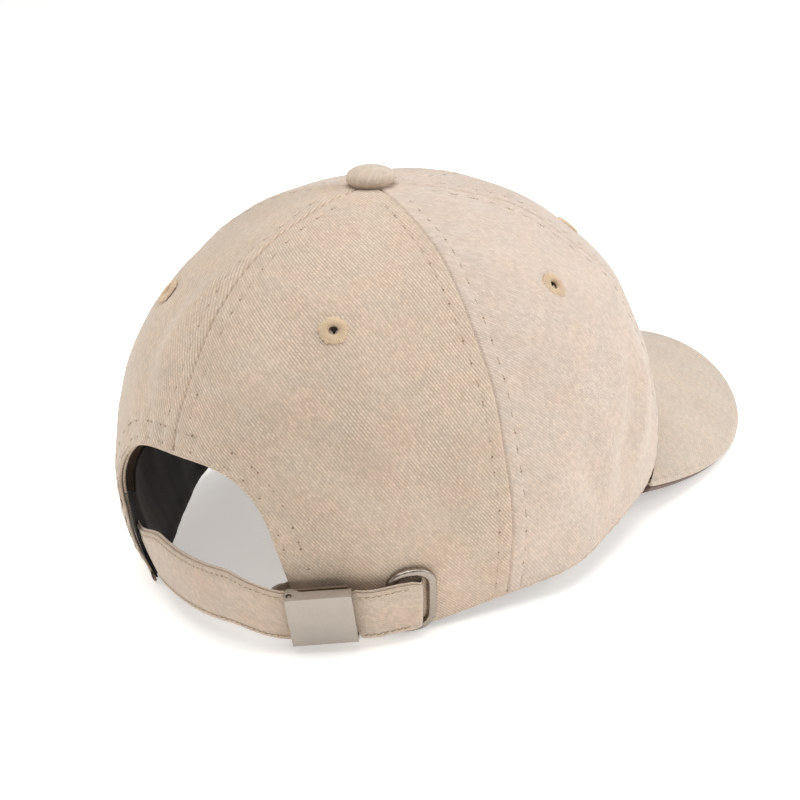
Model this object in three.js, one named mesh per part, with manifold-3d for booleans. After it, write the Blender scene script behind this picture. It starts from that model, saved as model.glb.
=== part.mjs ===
// Baseball cap: six-panel crown, curved visor, rear arch with a strap and flip buckle.
// Millimetres, +Z up, visor toward -Y, rear arch toward +Y, wearer's right toward -X.
// The origin is the centre of the head opening on the plane the cap rests on.
import * as THREE from 'three';
import { mergeVertices } from 'three/addons/utils/BufferGeometryUtils.js';
import Module from 'manifold-3d';

const wasm = await Module();
wasm.setup();

// ---- driving dimensions ----
const GAP = 0.3;                 // clearance between pieces that touch
const HALF_LENGTH = 100;         // crown half length, front to back
const HALF_WIDTH = 82;           // crown half width
const WIDEST_Z = 6.5;            // height of the widest level above the rest plane
const CROWN_RISE = 113.5;        // crown apex above the widest level
const ROUND_N = 2.78;            // fullness of the shoulders
const ROUND_M = 2.16;            // fullness of the top
const BULGE = 0.026;             // outward belly of the walls
const APEX_SHIFT = 3;            // apex sits this far behind the middle
const EGG = -0.054;              // the crown is slightly wider toward the front
const TUCK = 0.075;              // how far the back rim is drawn in
const TUCK_Z = 34;               // height below which it is drawn in
const SEAM_DEG = [0, 72, 129.5, 180, 230.5, 288];
const CLOTH = 1.0;               // panel cloth with its turned seams
const FACET = 0.45;              // extra clearance between faceted curved sheets
const APEX_RADIUS = 3.4;         // the panels stop this far from the apex
const RIM_Z = 1;                 // height of the cloth edge at the back
const RIM_SLOPE = 0.125;         // rise of the edge toward the front
const RIM_LEVEL_Y = 62;          // the edge is level behind this
const ARCH_HALF = 37.5;          // rear opening, half width
const ARCH_TOP = 58.5;           // rear opening, height of its top
const ARCH_P = 3;                // squareness of the opening
const FACING_WIDTH = 12;
const TAPE_WIDTH = 12;
const TAPE_RADIUS = 15;
const EYELET_Z = 93;
const EYELET_OUT = 4.7;
const EYELET_HOLE = 1.5;
const SWEAT_DEPTH = 5.0;         // sweatband face behind the crown face
const SWEAT_THICK = 0.9;
const SWEAT_HEIGHT = 31;
const VISOR_Z = 33.2;            // visor top at the middle of the front
const VISOR_ARCH = 0.0058;       // droop per square of the sideways distance
const VISOR_PITCH = 0.256;       // fall per millimetre forward
const VISOR_LENGTH = 66.5;
const VISOR_START = 117.6;       // angle of the visor corner round the crown
const VISOR_FLARE = 0.124;
const VISOR_ROUND = 0.813;
const COVER_CLOTH = 0.9;
const BOARD = 1.7;
const WELT = 2.4;                // sewn edge outside the board
const STRAP_HALF = 9.4;
const STRAP_PINCH = 6.8;         // half width where it passes the buckle
const STRAP_LEVEL = 2.6;         // strap face out from the crown face under the buckle
const STRAP_RISE = 4.6;          // the strap bows up this far across the opening
const STRAP_SLOT = 8.7;          // half width where it enters the slot
const STRAP_THICK = 1.4;
const STRAP_Z = 12.4;
const BUCKLE_Z = 14.6;
const TAB_HALF = 7.4;
const BUCKLE_DEG = 34.0;
const BUCKLE_LENGTH = 20;
const BUCKLE_HALF = 9.6;         // half height of the cover
const SHEET = 0.7;               // buckle sheet metal
const PIVOT_U = -8.1;            // hinge line along the strap
const PIVOT_N = 4.9;             // hinge line out from the crown face
const COVER_N = 6.3;             // inner face of the cover plate
const RING_DEG = 51.6;
const RING_Z = 13.3;
const RING_HALF_U = 7.9;
const RING_HALF_W = 13;
const RING_BAR = 3.1;
const RING_RISE = 2.7;
const BUTTON_RADIUS = 8;
const BUTTON_RISE = 6.6;

const V = (x, y, z) => new THREE.Vector3(x, y, z);
const rad = (deg) => deg * Math.PI / 180;
const clamp = (x, a = 0, b = 1) => Math.min(b, Math.max(a, x));
const smooth = (x, a, b) => {
  const s = clamp((x - a) / (b - a));
  return s * s * (3 - 2 * s);
};
const mix = (a, b, s) => a + (b - a) * s;

// ---- crown surface ----
// Wrapped angle from the back seam, in degrees 0..180.
const fromBack = (deg) => Math.abs(((deg + 540) % 360) - 180);

function crownPoint(deg, z) {
  const t = rad(deg);
  const h = clamp((z - WIDEST_Z) / CROWN_RISE, 0, 1);
  const round = Math.pow(1 - Math.pow(h, ROUND_N), 1 / ROUND_M);
  const belly = 1 + BULGE * 4 * h * (1 - h);
  const back = 1 - smooth(fromBack(deg), 55, 95);
  const low = clamp(1 - z / TUCK_Z);
  const r = round * belly * (1 - TUCK * back * low * low);
  const x = -HALF_WIDTH * Math.sin(t) * r * (1 + EGG * Math.cos(t));
  return V(x, HALF_LENGTH * Math.cos(t) * r + APEX_SHIFT * h * h, z);
}

// Outward direction, never pointing below level so that bands keep their heights.
function crownNormal(deg, z) {
  const zTop = WIDEST_Z + CROWN_RISE;
  const z0 = Math.min(z, zTop - 0.4);
  const along = crownPoint(deg + 0.1, z0).sub(crownPoint(deg - 0.1, z0));
  const up = crownPoint(deg, z0 + 0.2).sub(crownPoint(deg, z0 - 0.2));
  const n = new THREE.Vector3().crossVectors(up, along).normalize();
  if (n.dot(V(-Math.sin(rad(deg)), Math.cos(rad(deg)), 0.3)) < 0) n.negate();
  n.z = Math.max(n.z, 0);
  return n.normalize();
}

const crownAt = (deg, z, out) => crownPoint(deg, z).addScaledVector(crownNormal(deg, z), out);
const radiusAt = (deg, z) => Math.hypot(crownPoint(deg, z).x, crownPoint(deg, z).y);

// Height at which the crown has closed to the given radius.
function heightOfRadius(radius) {
  const f = Math.pow(radius / 90, ROUND_M);
  return WIDEST_Z + CROWN_RISE * Math.pow(1 - f, 1 / ROUND_N);
}

const visorTop = (x, y) => VISOR_Z - VISOR_ARCH * x * x - VISOR_PITCH * (-y - HALF_LENGTH);

// Lower edge of the cloth: level behind, rising along the sides, under the visor in front.
function rimZ(deg) {
  const p = crownPoint(deg, WIDEST_Z);
  const side = RIM_Z + RIM_SLOPE * Math.max(0, RIM_LEVEL_Y - p.y);
  if (fromBack(deg) < VISOR_START) return side;
  return Math.max(side, visorTop(p.x, p.y) - 3.4);
}

// Heights spaced evenly along the wall from z0 to z1.
function evenHeights(deg, z0, z1, rows) {
  const n = 160;
  const top = WIDEST_Z + CROWN_RISE;
  const zs = [];
  const run = [0];
  for (let i = 0; i <= n; i++) {
    const s = 1 - Math.pow(1 - i / n, 2.4);
    zs.push(Math.min(mix(z0, z1, s), top - 1e-4));
  }
  for (let i = 1; i <= n; i++) {
    run.push(run[i - 1] + crownPoint(deg, zs[i]).distanceTo(crownPoint(deg, zs[i - 1])));
  }
  const out = [];
  let k = 0;
  for (let j = 0; j <= rows; j++) {
    const want = run[n] * j / rows;
    while (k < n - 1 && run[k + 1] < want) k++;
    const f = clamp((want - run[k]) / Math.max(run[k + 1] - run[k], 1e-9));
    out.push(mix(zs[k], zs[k + 1], f));
  }
  return out;
}

// ---- solid builders ----
function facingOut(geometry) {
  const p = geometry.attributes.position;
  const index = geometry.index.array;
  const a = V(0, 0, 0);
  const b = V(0, 0, 0);
  const c = V(0, 0, 0);
  let volume = 0;
  for (let i = 0; i < index.length; i += 3) {
    a.fromBufferAttribute(p, index[i]);
    b.fromBufferAttribute(p, index[i + 1]);
    c.fromBufferAttribute(p, index[i + 2]);
    volume += a.dot(b.cross(c));
  }
  if (volume < 0) {
    for (let i = 0; i < index.length; i += 3) {
      const swap = index[i];
      index[i] = index[i + 1];
      index[i + 1] = swap;
    }
  }
  return geometry;
}

// A closed sheet between two grids of points, both indexed [i][j].
function sheet(front, back) {
  const nu = front.length;
  const nv = front[0].length;
  const points = [...front.flat(), ...back.flat()];
  const id = (side, i, j) => side * nu * nv + i * nv + j;
  const index = [];
  const quad = (a, b, c, d) => index.push(a, b, c, a, c, d);
  for (let i = 0; i < nu - 1; i++) {
    for (let j = 0; j < nv - 1; j++) {
      quad(id(0, i, j), id(0, i + 1, j), id(0, i + 1, j + 1), id(0, i, j + 1));
      quad(id(1, i, j), id(1, i, j + 1), id(1, i + 1, j + 1), id(1, i + 1, j));
    }
    quad(id(0, i, 0), id(1, i, 0), id(1, i + 1, 0), id(0, i + 1, 0));
    quad(id(0, i, nv - 1), id(0, i + 1, nv - 1), id(1, i + 1, nv - 1), id(1, i, nv - 1));
  }
  for (let j = 0; j < nv - 1; j++) {
    quad(id(0, 0, j), id(0, 0, j + 1), id(1, 0, j + 1), id(1, 0, j));
    quad(id(0, nu - 1, j), id(1, nu - 1, j), id(1, nu - 1, j + 1), id(0, nu - 1, j + 1));
  }
  const geometry = new THREE.BufferGeometry().setFromPoints(points);
  geometry.setIndex(index);
  return facingOut(geometry);
}

function toManifold(geometry) {
  const bare = geometry.clone();
  bare.deleteAttribute('normal');
  bare.deleteAttribute('uv');
  const merged = mergeVertices(bare, 1e-4);
  const vertProperties = new Float32Array(merged.attributes.position.array);
  const triVerts = new Uint32Array(merged.index.array);
  return new wasm.Manifold(new wasm.Mesh({ numProp: 3, vertProperties, triVerts }));
}

function fromManifold(solid) {
  const mesh = solid.getMesh();
  const geometry = new THREE.BufferGeometry();
  geometry.setAttribute('position', new THREE.BufferAttribute(mesh.vertProperties, 3));
  geometry.setIndex(new THREE.BufferAttribute(mesh.triVerts, 1));
  return geometry;
}

// Join, cut or intersect a list of geometries with the first one.
function combine(action, first, ...others) {
  let solid = toManifold(first);
  for (const other of others) {
    solid = solid[action](toManifold(other));
  }
  return fromManifold(solid);
}

// ---- crown panels ----
const archShape = (grow) => {
  const half = ARCH_HALF + grow;
  const rise = ARCH_TOP + grow;
  const points = [];
  for (let i = 0; i <= 36; i++) {
    const a = Math.PI * i / 36;
    const c = Math.cos(a);
    const s = Math.sin(a);
    const e = 2 / ARCH_P;
    points.push(new THREE.Vector2(half * Math.sign(c) * Math.abs(c) ** e, rise * s ** e));
  }
  points.push(new THREE.Vector2(-half, -8), new THREE.Vector2(half, -8));
  return new THREE.Shape(points);
};

// Prism of the rear opening, running front to back through the crown wall.
function archPrism(grow) {
  const solid = new THREE.ExtrudeGeometry(archShape(grow), { depth: 90, bevelEnabled: false });
  return solid.rotateX(Math.PI / 2).translate(0, 130, 0);
}

const APEX_Z = heightOfRadius(APEX_RADIUS);

function panelSheet(degA, degB, near, far, cols, rows, zLow) {
  const grid = (out) => {
    const lines = [];
    for (let i = 0; i <= cols; i++) {
      const mid = mix(degA, degB, i / cols);
      const line = evenHeights(mid, zLow(mid), APEX_Z, rows).map((z) => {
        const side = THREE.MathUtils.radToDeg(GAP / 2 / Math.max(radiusAt(mid, z), 2));
        return crownAt(mix(degA + side, degB - side, i / cols), z, out);
      });
      lines.push(line);
    }
    return lines;
  };
  return sheet(grid(near), grid(far));
}

// A peg across the cloth at a crown position, used to pierce it.
function peg(deg, z, radius, from, to, sides = 14) {
  const n = crownNormal(deg, z);
  const rod = new THREE.CylinderGeometry(radius, radius, to - from, sides);
  rod.translate(0, (from + to) / 2, 0);
  rod.applyQuaternion(new THREE.Quaternion().setFromUnitVectors(V(0, 1, 0), n));
  const p = crownPoint(deg, z);
  return rod.translate(p.x, p.y, p.z);
}

// ---- local frames on the crown ----
// u runs round the crown toward the wearer's right, w up the wall, n outward.
function frameAt(deg, z) {
  const up = crownPoint(deg, z + 8).sub(crownPoint(deg, z - 8)).normalize();
  const along = crownPoint(deg + 4, z).sub(crownPoint(deg - 4, z));
  const u = along.addScaledVector(up, -along.dot(up)).normalize();
  const n = new THREE.Vector3().crossVectors(u, up).normalize();
  return { origin: crownPoint(deg, z), u, w: up, n };
}

function place(geometry, frame) {
  const m = new THREE.Matrix4().makeBasis(frame.u, frame.w, frame.n);
  m.setPosition(frame.origin);
  return geometry.applyMatrix4(m);
}

const buckleFrame = frameAt(BUCKLE_DEG, BUCKLE_Z);
const ringFrame = frameAt(RING_DEG, RING_Z);

// How far out from the crown face the given local level n = level lies at (deg, z).
function outToLevel(frame, deg, z, level) {
  const p = crownPoint(deg, z).sub(frame.origin);
  return (level - p.dot(frame.n)) / crownNormal(deg, z).dot(frame.n);
}

function block(u0, u1, w0, w1, n0, n1) {
  const box = new THREE.BoxGeometry(u1 - u0, w1 - w0, n1 - n0);
  return box.translate((u0 + u1) / 2, (w0 + w1) / 2, (n0 + n1) / 2);
}

// Rod along w with a round section.
function rodW(u, n, radius, w0, w1, sides = 20) {
  const rod = new THREE.CylinderGeometry(radius, radius, w1 - w0, sides);
  return rod.translate(u, (w0 + w1) / 2, n);
}

// Plate in the u-n plane with the outline given, spanning w0..w1.
function plateUN(outline, w0, w1) {
  const shape = new THREE.Shape(outline.map(([u, n]) => new THREE.Vector2(u, n)));
  const solid = new THREE.ExtrudeGeometry(shape, { depth: w1 - w0, bevelEnabled: false });
  return solid.rotateX(Math.PI / 2).translate(0, w1, 0);
}

// ---- materials ----
const paint = (color, roughness, metalness = 0) => ({ color, roughness, metalness });
const TWILL = paint(0xdccab6, 0.92);
const TWILL_STRAP = paint(0xd2bfac, 0.92);
const THREAD = paint(0xc8b398, 0.8);
const TAPE = paint(0xd6c7b2, 0.9);
const BLACK = paint(0x15151a, 0.9);
const UNDER = paint(0xc9b7a4, 0.92);
const BOARD_PLASTIC = paint(0xe8e6e0, 0.5);
const METAL = paint(0xaaa297, 0.38, 1);
const METAL_DARK = paint(0x8d867c, 0.42, 1);

const cap = new THREE.Group();
cap.name = 'baseball_cap';

function part(name, geometry, look) {
  geometry.deleteAttribute('normal');
  geometry.deleteAttribute('uv');
  const welded = geometry.index ? geometry : mergeVertices(geometry, 1e-4);
  const flat = facingOut(welded).toNonIndexed();
  flat.computeVertexNormals();
  const mesh = new THREE.Mesh(flat, new THREE.MeshStandardMaterial(look));
  mesh.name = name;
  cap.add(mesh);
}

// ---- crown ----
const PANELS = [
  ['panel_back_right', 0, 9], ['panel_side_right', 1, 8], ['panel_front_right', 2, 8],
  ['panel_front_left', 3, 8], ['panel_side_left', 4, 8], ['panel_back_left', 5, 9],
];
const ringHole = () => {
  const shape = new THREE.Shape(oval(RING_HALF_U - RING_BAR + 0.3, RING_HALF_W - RING_BAR + 0.3, 4));
  const solid = new THREE.ExtrudeGeometry(shape, { depth: 12, bevelEnabled: false });
  return place(solid.translate(0, 0, -6), ringFrame);
};

// Rounded rectangle as a closed run of points, its long sides divided.
function oval(halfU, halfW, corner, steps = 4, divide = 6) {
  const points = [];
  const centres = [[1, 1, 0], [-1, 1, 90], [-1, -1, 180], [1, -1, 270]];
  centres.forEach(([su, sw, start], k) => {
    for (let i = 0; i <= steps; i++) {
      const a = rad(start + 90 * i / steps);
      const u = su * (halfU - corner) + corner * Math.cos(a);
      points.push(new THREE.Vector2(u, sw * (halfW - corner) + corner * Math.sin(a)));
    }
    if (k % 2 === 0) return;
    const last = points[points.length - 1];
    for (let i = 1; i < divide; i++) {
      points.push(new THREE.Vector2(last.x, mix(last.y, -last.y, i / divide)));
    }
  });
  return points;
}

const eyelets = [];
for (const [name, k, cols] of PANELS) {
  const degA = SEAM_DEG[k];
  const degB = k === 5 ? 360 : SEAM_DEG[k + 1];
  const mid = (degA + degB) / 2;
  const cuts = [peg(mid, EYELET_Z, EYELET_HOLE, -4, 4)];
  if (k === 0 || k === 5) cuts.push(archPrism(0));
  if (k === 0) cuts.push(ringHole());
  const solid = panelSheet(degA, degB, 0, -CLOTH, cols, 16, rimZ);
  part(name, combine('subtract', solid, ...cuts), TWILL);
  eyelets.push([name.replace('panel', 'eyelet'), mid]);
}

// Embroidered eyelets: a low thread ring round each hole.
for (const [name, deg] of eyelets) {
  const profile = [
    [EYELET_HOLE, 0], [EYELET_OUT, 0], [EYELET_OUT - 0.5, 0.7], [3.1, 1.0],
    [EYELET_HOLE + 0.5, 0.8], [EYELET_HOLE, 0],
  ].map(([r, y]) => new THREE.Vector2(r, y));
  const ring = new THREE.LatheGeometry(profile, 16);
  ring.applyQuaternion(new THREE.Quaternion().setFromUnitVectors(V(0, 1, 0),
    crownNormal(deg, EYELET_Z)));
  const p = crownAt(deg, EYELET_Z, GAP + 0.1);
  part(name, ring.translate(p.x, p.y, p.z), THREAD);
}

// Tapes that cover the seams inside.
const TAPE_TOP = heightOfRadius(TAPE_RADIUS);
SEAM_DEG.forEach((deg, k) => {
  const low = k === 0 ? ARCH_TOP + FACING_WIDTH + 2 : rimZ(deg) + 3;
  const lines = (out) => [-1, 0, 1].map((side) => evenHeights(deg, low, TAPE_TOP, 12).map((z) => {
    const turn = THREE.MathUtils.radToDeg(TAPE_WIDTH / 2 / radiusAt(deg, z));
    return crownAt(deg + side * turn, z, out);
  }));
  const inner = -CLOTH - GAP - FACET;
  const names = ['back', 'back_right', 'front_right', 'front', 'front_left', 'back_left'];
  part(`seam_tape_${names[k]}`, sheet(lines(inner), lines(inner - 0.6)), TAPE);
});

// Facing sewn round the rear opening inside.
{
  const lines = (out) => {
    const all = [];
    for (let i = 0; i <= 16; i++) {
      const deg = mix(-44, 44, i / 16);
      all.push(evenHeights(deg, 3, ARCH_TOP + FACING_WIDTH + 1, 8)
        .map((z) => crownAt(deg, z, out)));
    }
    return all;
  };
  const inner = -CLOTH - GAP - FACET;
  const whole = sheet(lines(inner), lines(inner - 0.6));
  const band = combine('intersect', whole, archPrism(FACING_WIDTH));
  part('arch_facing', combine('subtract', band, archPrism(0.2)), TWILL);
}

// Sweatband: an open loop from one side of the arch round the front to the other.
{
  const lines = (out) => {
    const all = [];
    const start = 27.6;
    for (let i = 0; i <= 44; i++) {
      const deg = mix(start, 360 - start, i / 44);
      const low = rimZ(deg) - RIM_Z;
      all.push([0, 0.5, 1].map((s) => crownAt(deg, low + SWEAT_HEIGHT * s, out)));
    }
    return all;
  };
  part('sweatband', sheet(lines(-SWEAT_DEPTH), lines(-SWEAT_DEPTH - SWEAT_THICK)), BLACK);
}

// ---- visor ----
// s runs from the crown (0) to the outer edge (1), a from one corner to the other.
function visorPoint(a, s, inset, depth, trim = 1.5) {
  const deg = mix(VISOR_START + trim, 360 - trim - VISOR_START, a);
  const root = crownAt(deg, rimZ(deg) + 2, GAP);
  const corner = crownAt(VISOR_START, rimZ(VISOR_START) + 2, GAP);
  const th = rad((90 - trim) * (2 * a - 1));
  const wide = Math.abs(corner.x) - inset;
  const reach = VISOR_LENGTH + HALF_LENGTH + corner.y - inset;
  const x = wide * Math.sin(th) * (1 + VISOR_FLARE * Math.cos(th) ** 2);
  const y = corner.y - reach * Math.cos(th) ** VISOR_ROUND;
  const px = mix(root.x, x, s);
  const py = mix(root.y, y, s);
  const normal = V(2 * VISOR_ARCH * px, -VISOR_PITCH, 1).normalize();
  return V(px, py, visorTop(px, py)).addScaledVector(normal, -depth);
}

function visorSheet(s0, inset, top, bottom, trim, steps = 3, spans = 36) {
  const lines = (depth) => {
    const all = [];
    for (let i = 0; i <= spans; i++) {
      const line = [];
      for (let j = 0; j <= steps; j++) {
        line.push(visorPoint(i / spans, mix(s0, 1, j / steps), inset, depth, trim));
      }
      all.push(line);
    }
    return all;
  };
  return sheet(lines(top), lines(bottom));
}

const BOARD_TOP = COVER_CLOTH + GAP;
const BOARD_LOW = BOARD_TOP + BOARD;
const COVER_LOW = BOARD_LOW + GAP;
part('visor_cover_top', visorSheet(0.01, 0, 0, COVER_CLOTH), TWILL);
part('visor_board', visorSheet(0.03, WELT + GAP, BOARD_TOP, BOARD_LOW, 6), BOARD_PLASTIC);
part('visor_cover_bottom', visorSheet(0.01, 0, COVER_LOW, COVER_LOW + COVER_CLOTH), UNDER);

// Seam allowance filling the edge between the two covers, outside the board.
{
  const lines = (depth) => {
    const all = [];
    for (let i = 0; i <= 40; i++) {
      all.push([visorPoint(i / 40, 1, WELT, depth), visorPoint(i / 40, 1, 0, depth)]);
    }
    return all;
  };
  part('visor_edge_welt', sheet(lines(BOARD_TOP), lines(BOARD_LOW)), TWILL);
}

// ---- top button ----
const apex = V(0, APEX_SHIFT, WIDEST_Z + CROWN_RISE);
const lathe = (profile, sides = 22) => new THREE.LatheGeometry(
  profile.map(([r, y]) => new THREE.Vector2(r, y)), sides)
  .rotateX(Math.PI / 2).translate(apex.x, apex.y, apex.z);
{
  const arc = (radius, rise, steps, from, to) => {
    const out = [];
    for (let i = 0; i <= steps; i++) {
      const a = rad(mix(from, to, i / steps));
      out.push([radius * Math.sin(a) ** 0.8, rise * Math.cos(a) ** 0.8]);
    }
    out[0][0] = 0;
    return out;
  };
  const lift = (points, dz) => points.map(([r, y]) => [r, y + dz]);
  const outer = lift(arc(BUTTON_RADIUS, BUTTON_RISE - 0.9, 8, 0, 90), 0.9);
  const inner = lift(arc(BUTTON_RADIUS - 0.8, BUTTON_RISE - 1.7, 8, 0, 90), 0.9);
  outer[8] = [BUTTON_RADIUS, 0.9];
  inner[8] = [BUTTON_RADIUS - 0.8, 0.9];
  part('button_cover', lathe([...outer, ...inner.reverse()]), TWILL);
  const cup = lift(arc(BUTTON_RADIUS - 1.1, BUTTON_RISE - 2.0, 7, 0, 90), 0.9);
  cup[7] = [BUTTON_RADIUS - 1.1, 0.9];
  const body = [...cup, [2.2, 0.9], [2.2, -5], [0, -5]];
  part('button_shell', lathe(body), METAL_DARK);
  part('button_washer', lathe([[2.5, -3.4], [7, -3.4], [7, -2.4], [6.2, -1.9], [2.5, -1.9],
    [2.5, -3.4]]), METAL_DARK);
}

// ---- strap ----
// Clear distance from the crown face to the inner side of the strap, by angle.
function strapOut(deg, z) {
  const inside = -CLOTH - GAP * 2 - FACET - 0.8 - STRAP_THICK;
  const level = outToLevel(buckleFrame, deg, z, STRAP_LEVEL);
  const overBar = outToLevel(ringFrame, deg, z, RING_RISE + GAP * 1.5);
  const upright = 0.2 * (z - strapZ(deg)) * (1 - smooth(deg, 12, 26));
  const across = mix(inside, 2.2, smooth(deg, -16, 24)) - upright * smooth(deg, -27, -10);
  if (deg < BUCKLE_DEG) return mix(across, level, smooth(deg, 16, 24));
  if (deg < 49) return mix(level, overBar, smooth(deg, 41, 46));
  return mix(overBar, inside, smooth(deg, 50.8, 54.6));
}

function strapHalf(deg) {
  const off = Math.abs(deg - (BUCKLE_DEG - 0.6));
  const full = mix(STRAP_HALF, STRAP_SLOT, smooth(deg, 47.5, 50.5));
  return mix(STRAP_PINCH, full, smooth(off, 7.9, 10.9));
}

function strapZ(deg) {
  const bow = STRAP_RISE * smooth(deg, -26, -10) * (1 - smooth(deg, 17, 30));
  const through = BUCKLE_Z - 0.15 + 0.12 * (deg - BUCKLE_DEG);
  const tucked = mix(through, STRAP_Z, smooth(Math.abs(deg - BUCKLE_DEG), 7, 10.5));
  return tucked + bow + (RING_Z - STRAP_Z) * smooth(deg, 45, 49);
}

{
  const stops = [];
  for (let deg = -41; deg <= 44; deg += 2.5) stops.push(deg);
  for (let deg = 44.5; deg <= 56; deg += 0.6) stops.push(deg);
  stops.push(58, 61);
  const lines = (extra) => stops.map((deg) => [-1, -0.33, 0.33, 1].map((side) => {
    const z = strapZ(deg) + side * strapHalf(deg) * 0.956;
    return crownAt(deg, z, strapOut(deg, z) + extra);
  }));
  part('strap', sheet(lines(0), lines(STRAP_THICK)), TWILL_STRAP);
}

// ---- buckle ----
const inner = BUCKLE_HALF - SHEET;      // inside of the cover flanges
const wall = inner - GAP;               // outside of the base walls
{
  const plate = block(-12.2, 9.2, -wall, wall, 1.1, 1.8);
  const slot = block(-10.9, -9.9, -TAB_HALF - 0.4, TAB_HALF + 0.4, 0, 3);
  const bar = rodW(-12.4, 1.25, 0.5, -wall, wall, 12);
  let base = combine('add', combine('subtract', plate, slot), bar);
  const ear = [[-9.6, 1.1], [-5.6, 1.1], [-6.6, 5.2], [-7.4, 5.95], [-8.8, 5.95], [-9.3, 5.2]];
  for (const side of [-1, 1]) {
    const w0 = side < 0 ? -wall : wall - SHEET;
    base = combine('add', base, plateUN(ear, w0, w0 + SHEET));
  }
  base = combine('subtract', base, rodW(PIVOT_U, PIVOT_N, 0.9, -12, 12, 16));
  part('buckle_base', place(base, buckleFrame), METAL_DARK);
}
{
  const near = -9.4;
  const far = near + BUCKLE_LENGTH;
  const top = COVER_N + SHEET;
  let cover = block(near, far, -BUCKLE_HALF, BUCKLE_HALF, COVER_N, top);
  const flange = [
    [near, top], [near, 4.4], [-9.3, 2.6], [-8.8, 1.9], [-7.3, 1.9],
    [-6.4, 2.4], [-5.2, 3.3], [-4, 3.5], [far, 3.7], [far, top],
  ];
  for (const side of [-1, 1]) {
    const w0 = side < 0 ? -BUCKLE_HALF : BUCKLE_HALF - SHEET;
    cover = combine('add', cover, plateUN(flange, w0, w0 + SHEET));
  }
  const cam = [[-6.6, COVER_N + 0.2], [-6.2, 4.6], [-5.4, 4.3], [-4.6, 4.6], [-3.6, COVER_N + 0.2]];
  cover = combine('add', cover, plateUN(cam, -STRAP_PINCH, STRAP_PINCH));
  cover = combine('subtract', cover, rodW(PIVOT_U, PIVOT_N, 0.9, -14, 14, 16));
  part('buckle_cover', place(cover, buckleFrame), METAL);
}
const pinHalf = BUCKLE_HALF - 0.1;
part('buckle_pin', place(rodW(PIVOT_U, PIVOT_N, 0.6, -pinHalf, pinHalf, 16), buckleFrame),
  METAL_DARK);

// Cloth tab: sewn inside the crown, round the buckle bar, back over the crown face.
{
  const path = [
    [-1, -3.1], [-6, -3.1], [-11.5, -2.9], [-13.6, -1.6], [-14.1, 0.3], [-14.0, 1.35],
    [-13.3, 2.08], [-11.4, 2.1], [-10.62, 2.06], [-10.38, 1.2], [-9.4, 0.62], [-2, 0.62],
  ];
  const lineAt = (side) => path.map(([u, n], i) => {
    const [pu, pn] = path[Math.max(i - 1, 0)];
    const [qu, qn] = path[Math.min(i + 1, path.length - 1)];
    const d = Math.hypot(qu - pu, qn - pn);
    const du = -(qn - pn) / d * 0.22 * side;
    const dn = (qu - pu) / d * 0.22 * side;
    return [-TAB_HALF, TAB_HALF].map((w) => {
      const f = buckleFrame;
      const p = f.origin.clone().addScaledVector(f.u, u + du).addScaledVector(f.w, w);
      const bend = bendOf(f, p);
      return p.addScaledVector(f.n, n + dn + bend);
    });
  });
  part('buckle_tab', sheet(lineAt(-1), lineAt(1)), TWILL_STRAP);
}

// Depth by which the crown face falls away from the tangent plane at the point.
function bendOf(frame, point) {
  let best = 0;
  let miss = Infinity;
  for (let deg = BUCKLE_DEG - 12; deg <= BUCKLE_DEG + 6; deg += 0.5) {
    const p = crownPoint(deg, point.z);
    const gap = Math.abs(p.clone().sub(point).dot(frame.u));
    if (gap < miss) {
      miss = gap;
      best = p.sub(frame.origin).dot(frame.n);
    }
  }
  return Math.min(best, 0) * (point.clone().sub(frame.origin).dot(frame.u) > -10 ? 1 : 0);
}

// ---- slot ring that takes the strap end ----
// The ring follows the crown wall: sections across the bar are swept round the oval.
function ringSolid(section) {
  const centre = oval(RING_HALF_U - RING_BAR / 2, RING_HALF_W - RING_BAR / 2, 5);
  const turn = THREE.MathUtils.radToDeg(1 / crownPoint(RING_DEG + 1, RING_Z)
    .distanceTo(crownPoint(RING_DEG, RING_Z))) * rad(1);
  const loop = centre.map((p, i) => {
    const before = centre[(i + centre.length - 1) % centre.length];
    const after = centre[(i + 1) % centre.length];
    const out = new THREE.Vector2(after.y - before.y, before.x - after.x).normalize();
    return section.map(([across, n]) => {
      const u = p.x + out.x * across;
      const w = p.y + out.y * across;
      return crownAt(RING_DEG + u * turn, RING_Z + w * ringFrame.w.z, n);
    });
  });
  return tube(loop);
}

// Closed ring through closed sections.
function tube(loop) {
  const sides = loop[0].length;
  const index = [];
  loop.forEach((_, i) => {
    const j = (i + 1) % loop.length;
    for (let k = 0; k < sides; k++) {
      const l = (k + 1) % sides;
      const [a, b] = [i * sides + k, j * sides + k];
      const [c, d] = [j * sides + l, i * sides + l];
      index.push(a, b, c, a, c, d);
    }
  });
  const geometry = new THREE.BufferGeometry().setFromPoints(loop.flat());
  geometry.setIndex(index);
  return facingOut(geometry);
}

const half = RING_BAR / 2;
part('ring_front', ringSolid([
  [-half, 0.35], [half, 0.35], [half, 1.3], [half * 0.75, RING_RISE - 0.2], [half * 0.3, RING_RISE],
  [-half * 0.3, RING_RISE], [-half * 0.75, RING_RISE - 0.2], [-half, 1.3],
]), METAL);
part('ring_back', ringSolid([
  [-half, -CLOTH - 0.5], [-half, -CLOTH - 1.1], [half, -CLOTH - 1.1], [half, -CLOTH - 0.5],
]), METAL_DARK);

export default cap;
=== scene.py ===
"""Looks of the baseball cap: cloth crown, visor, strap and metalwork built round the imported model.

Lengths below are in millimetres in the frame of the CAD model and become metres in each mesh.
"""
import math

import bpy
import numpy as np
from mathutils import Matrix, Vector


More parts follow.
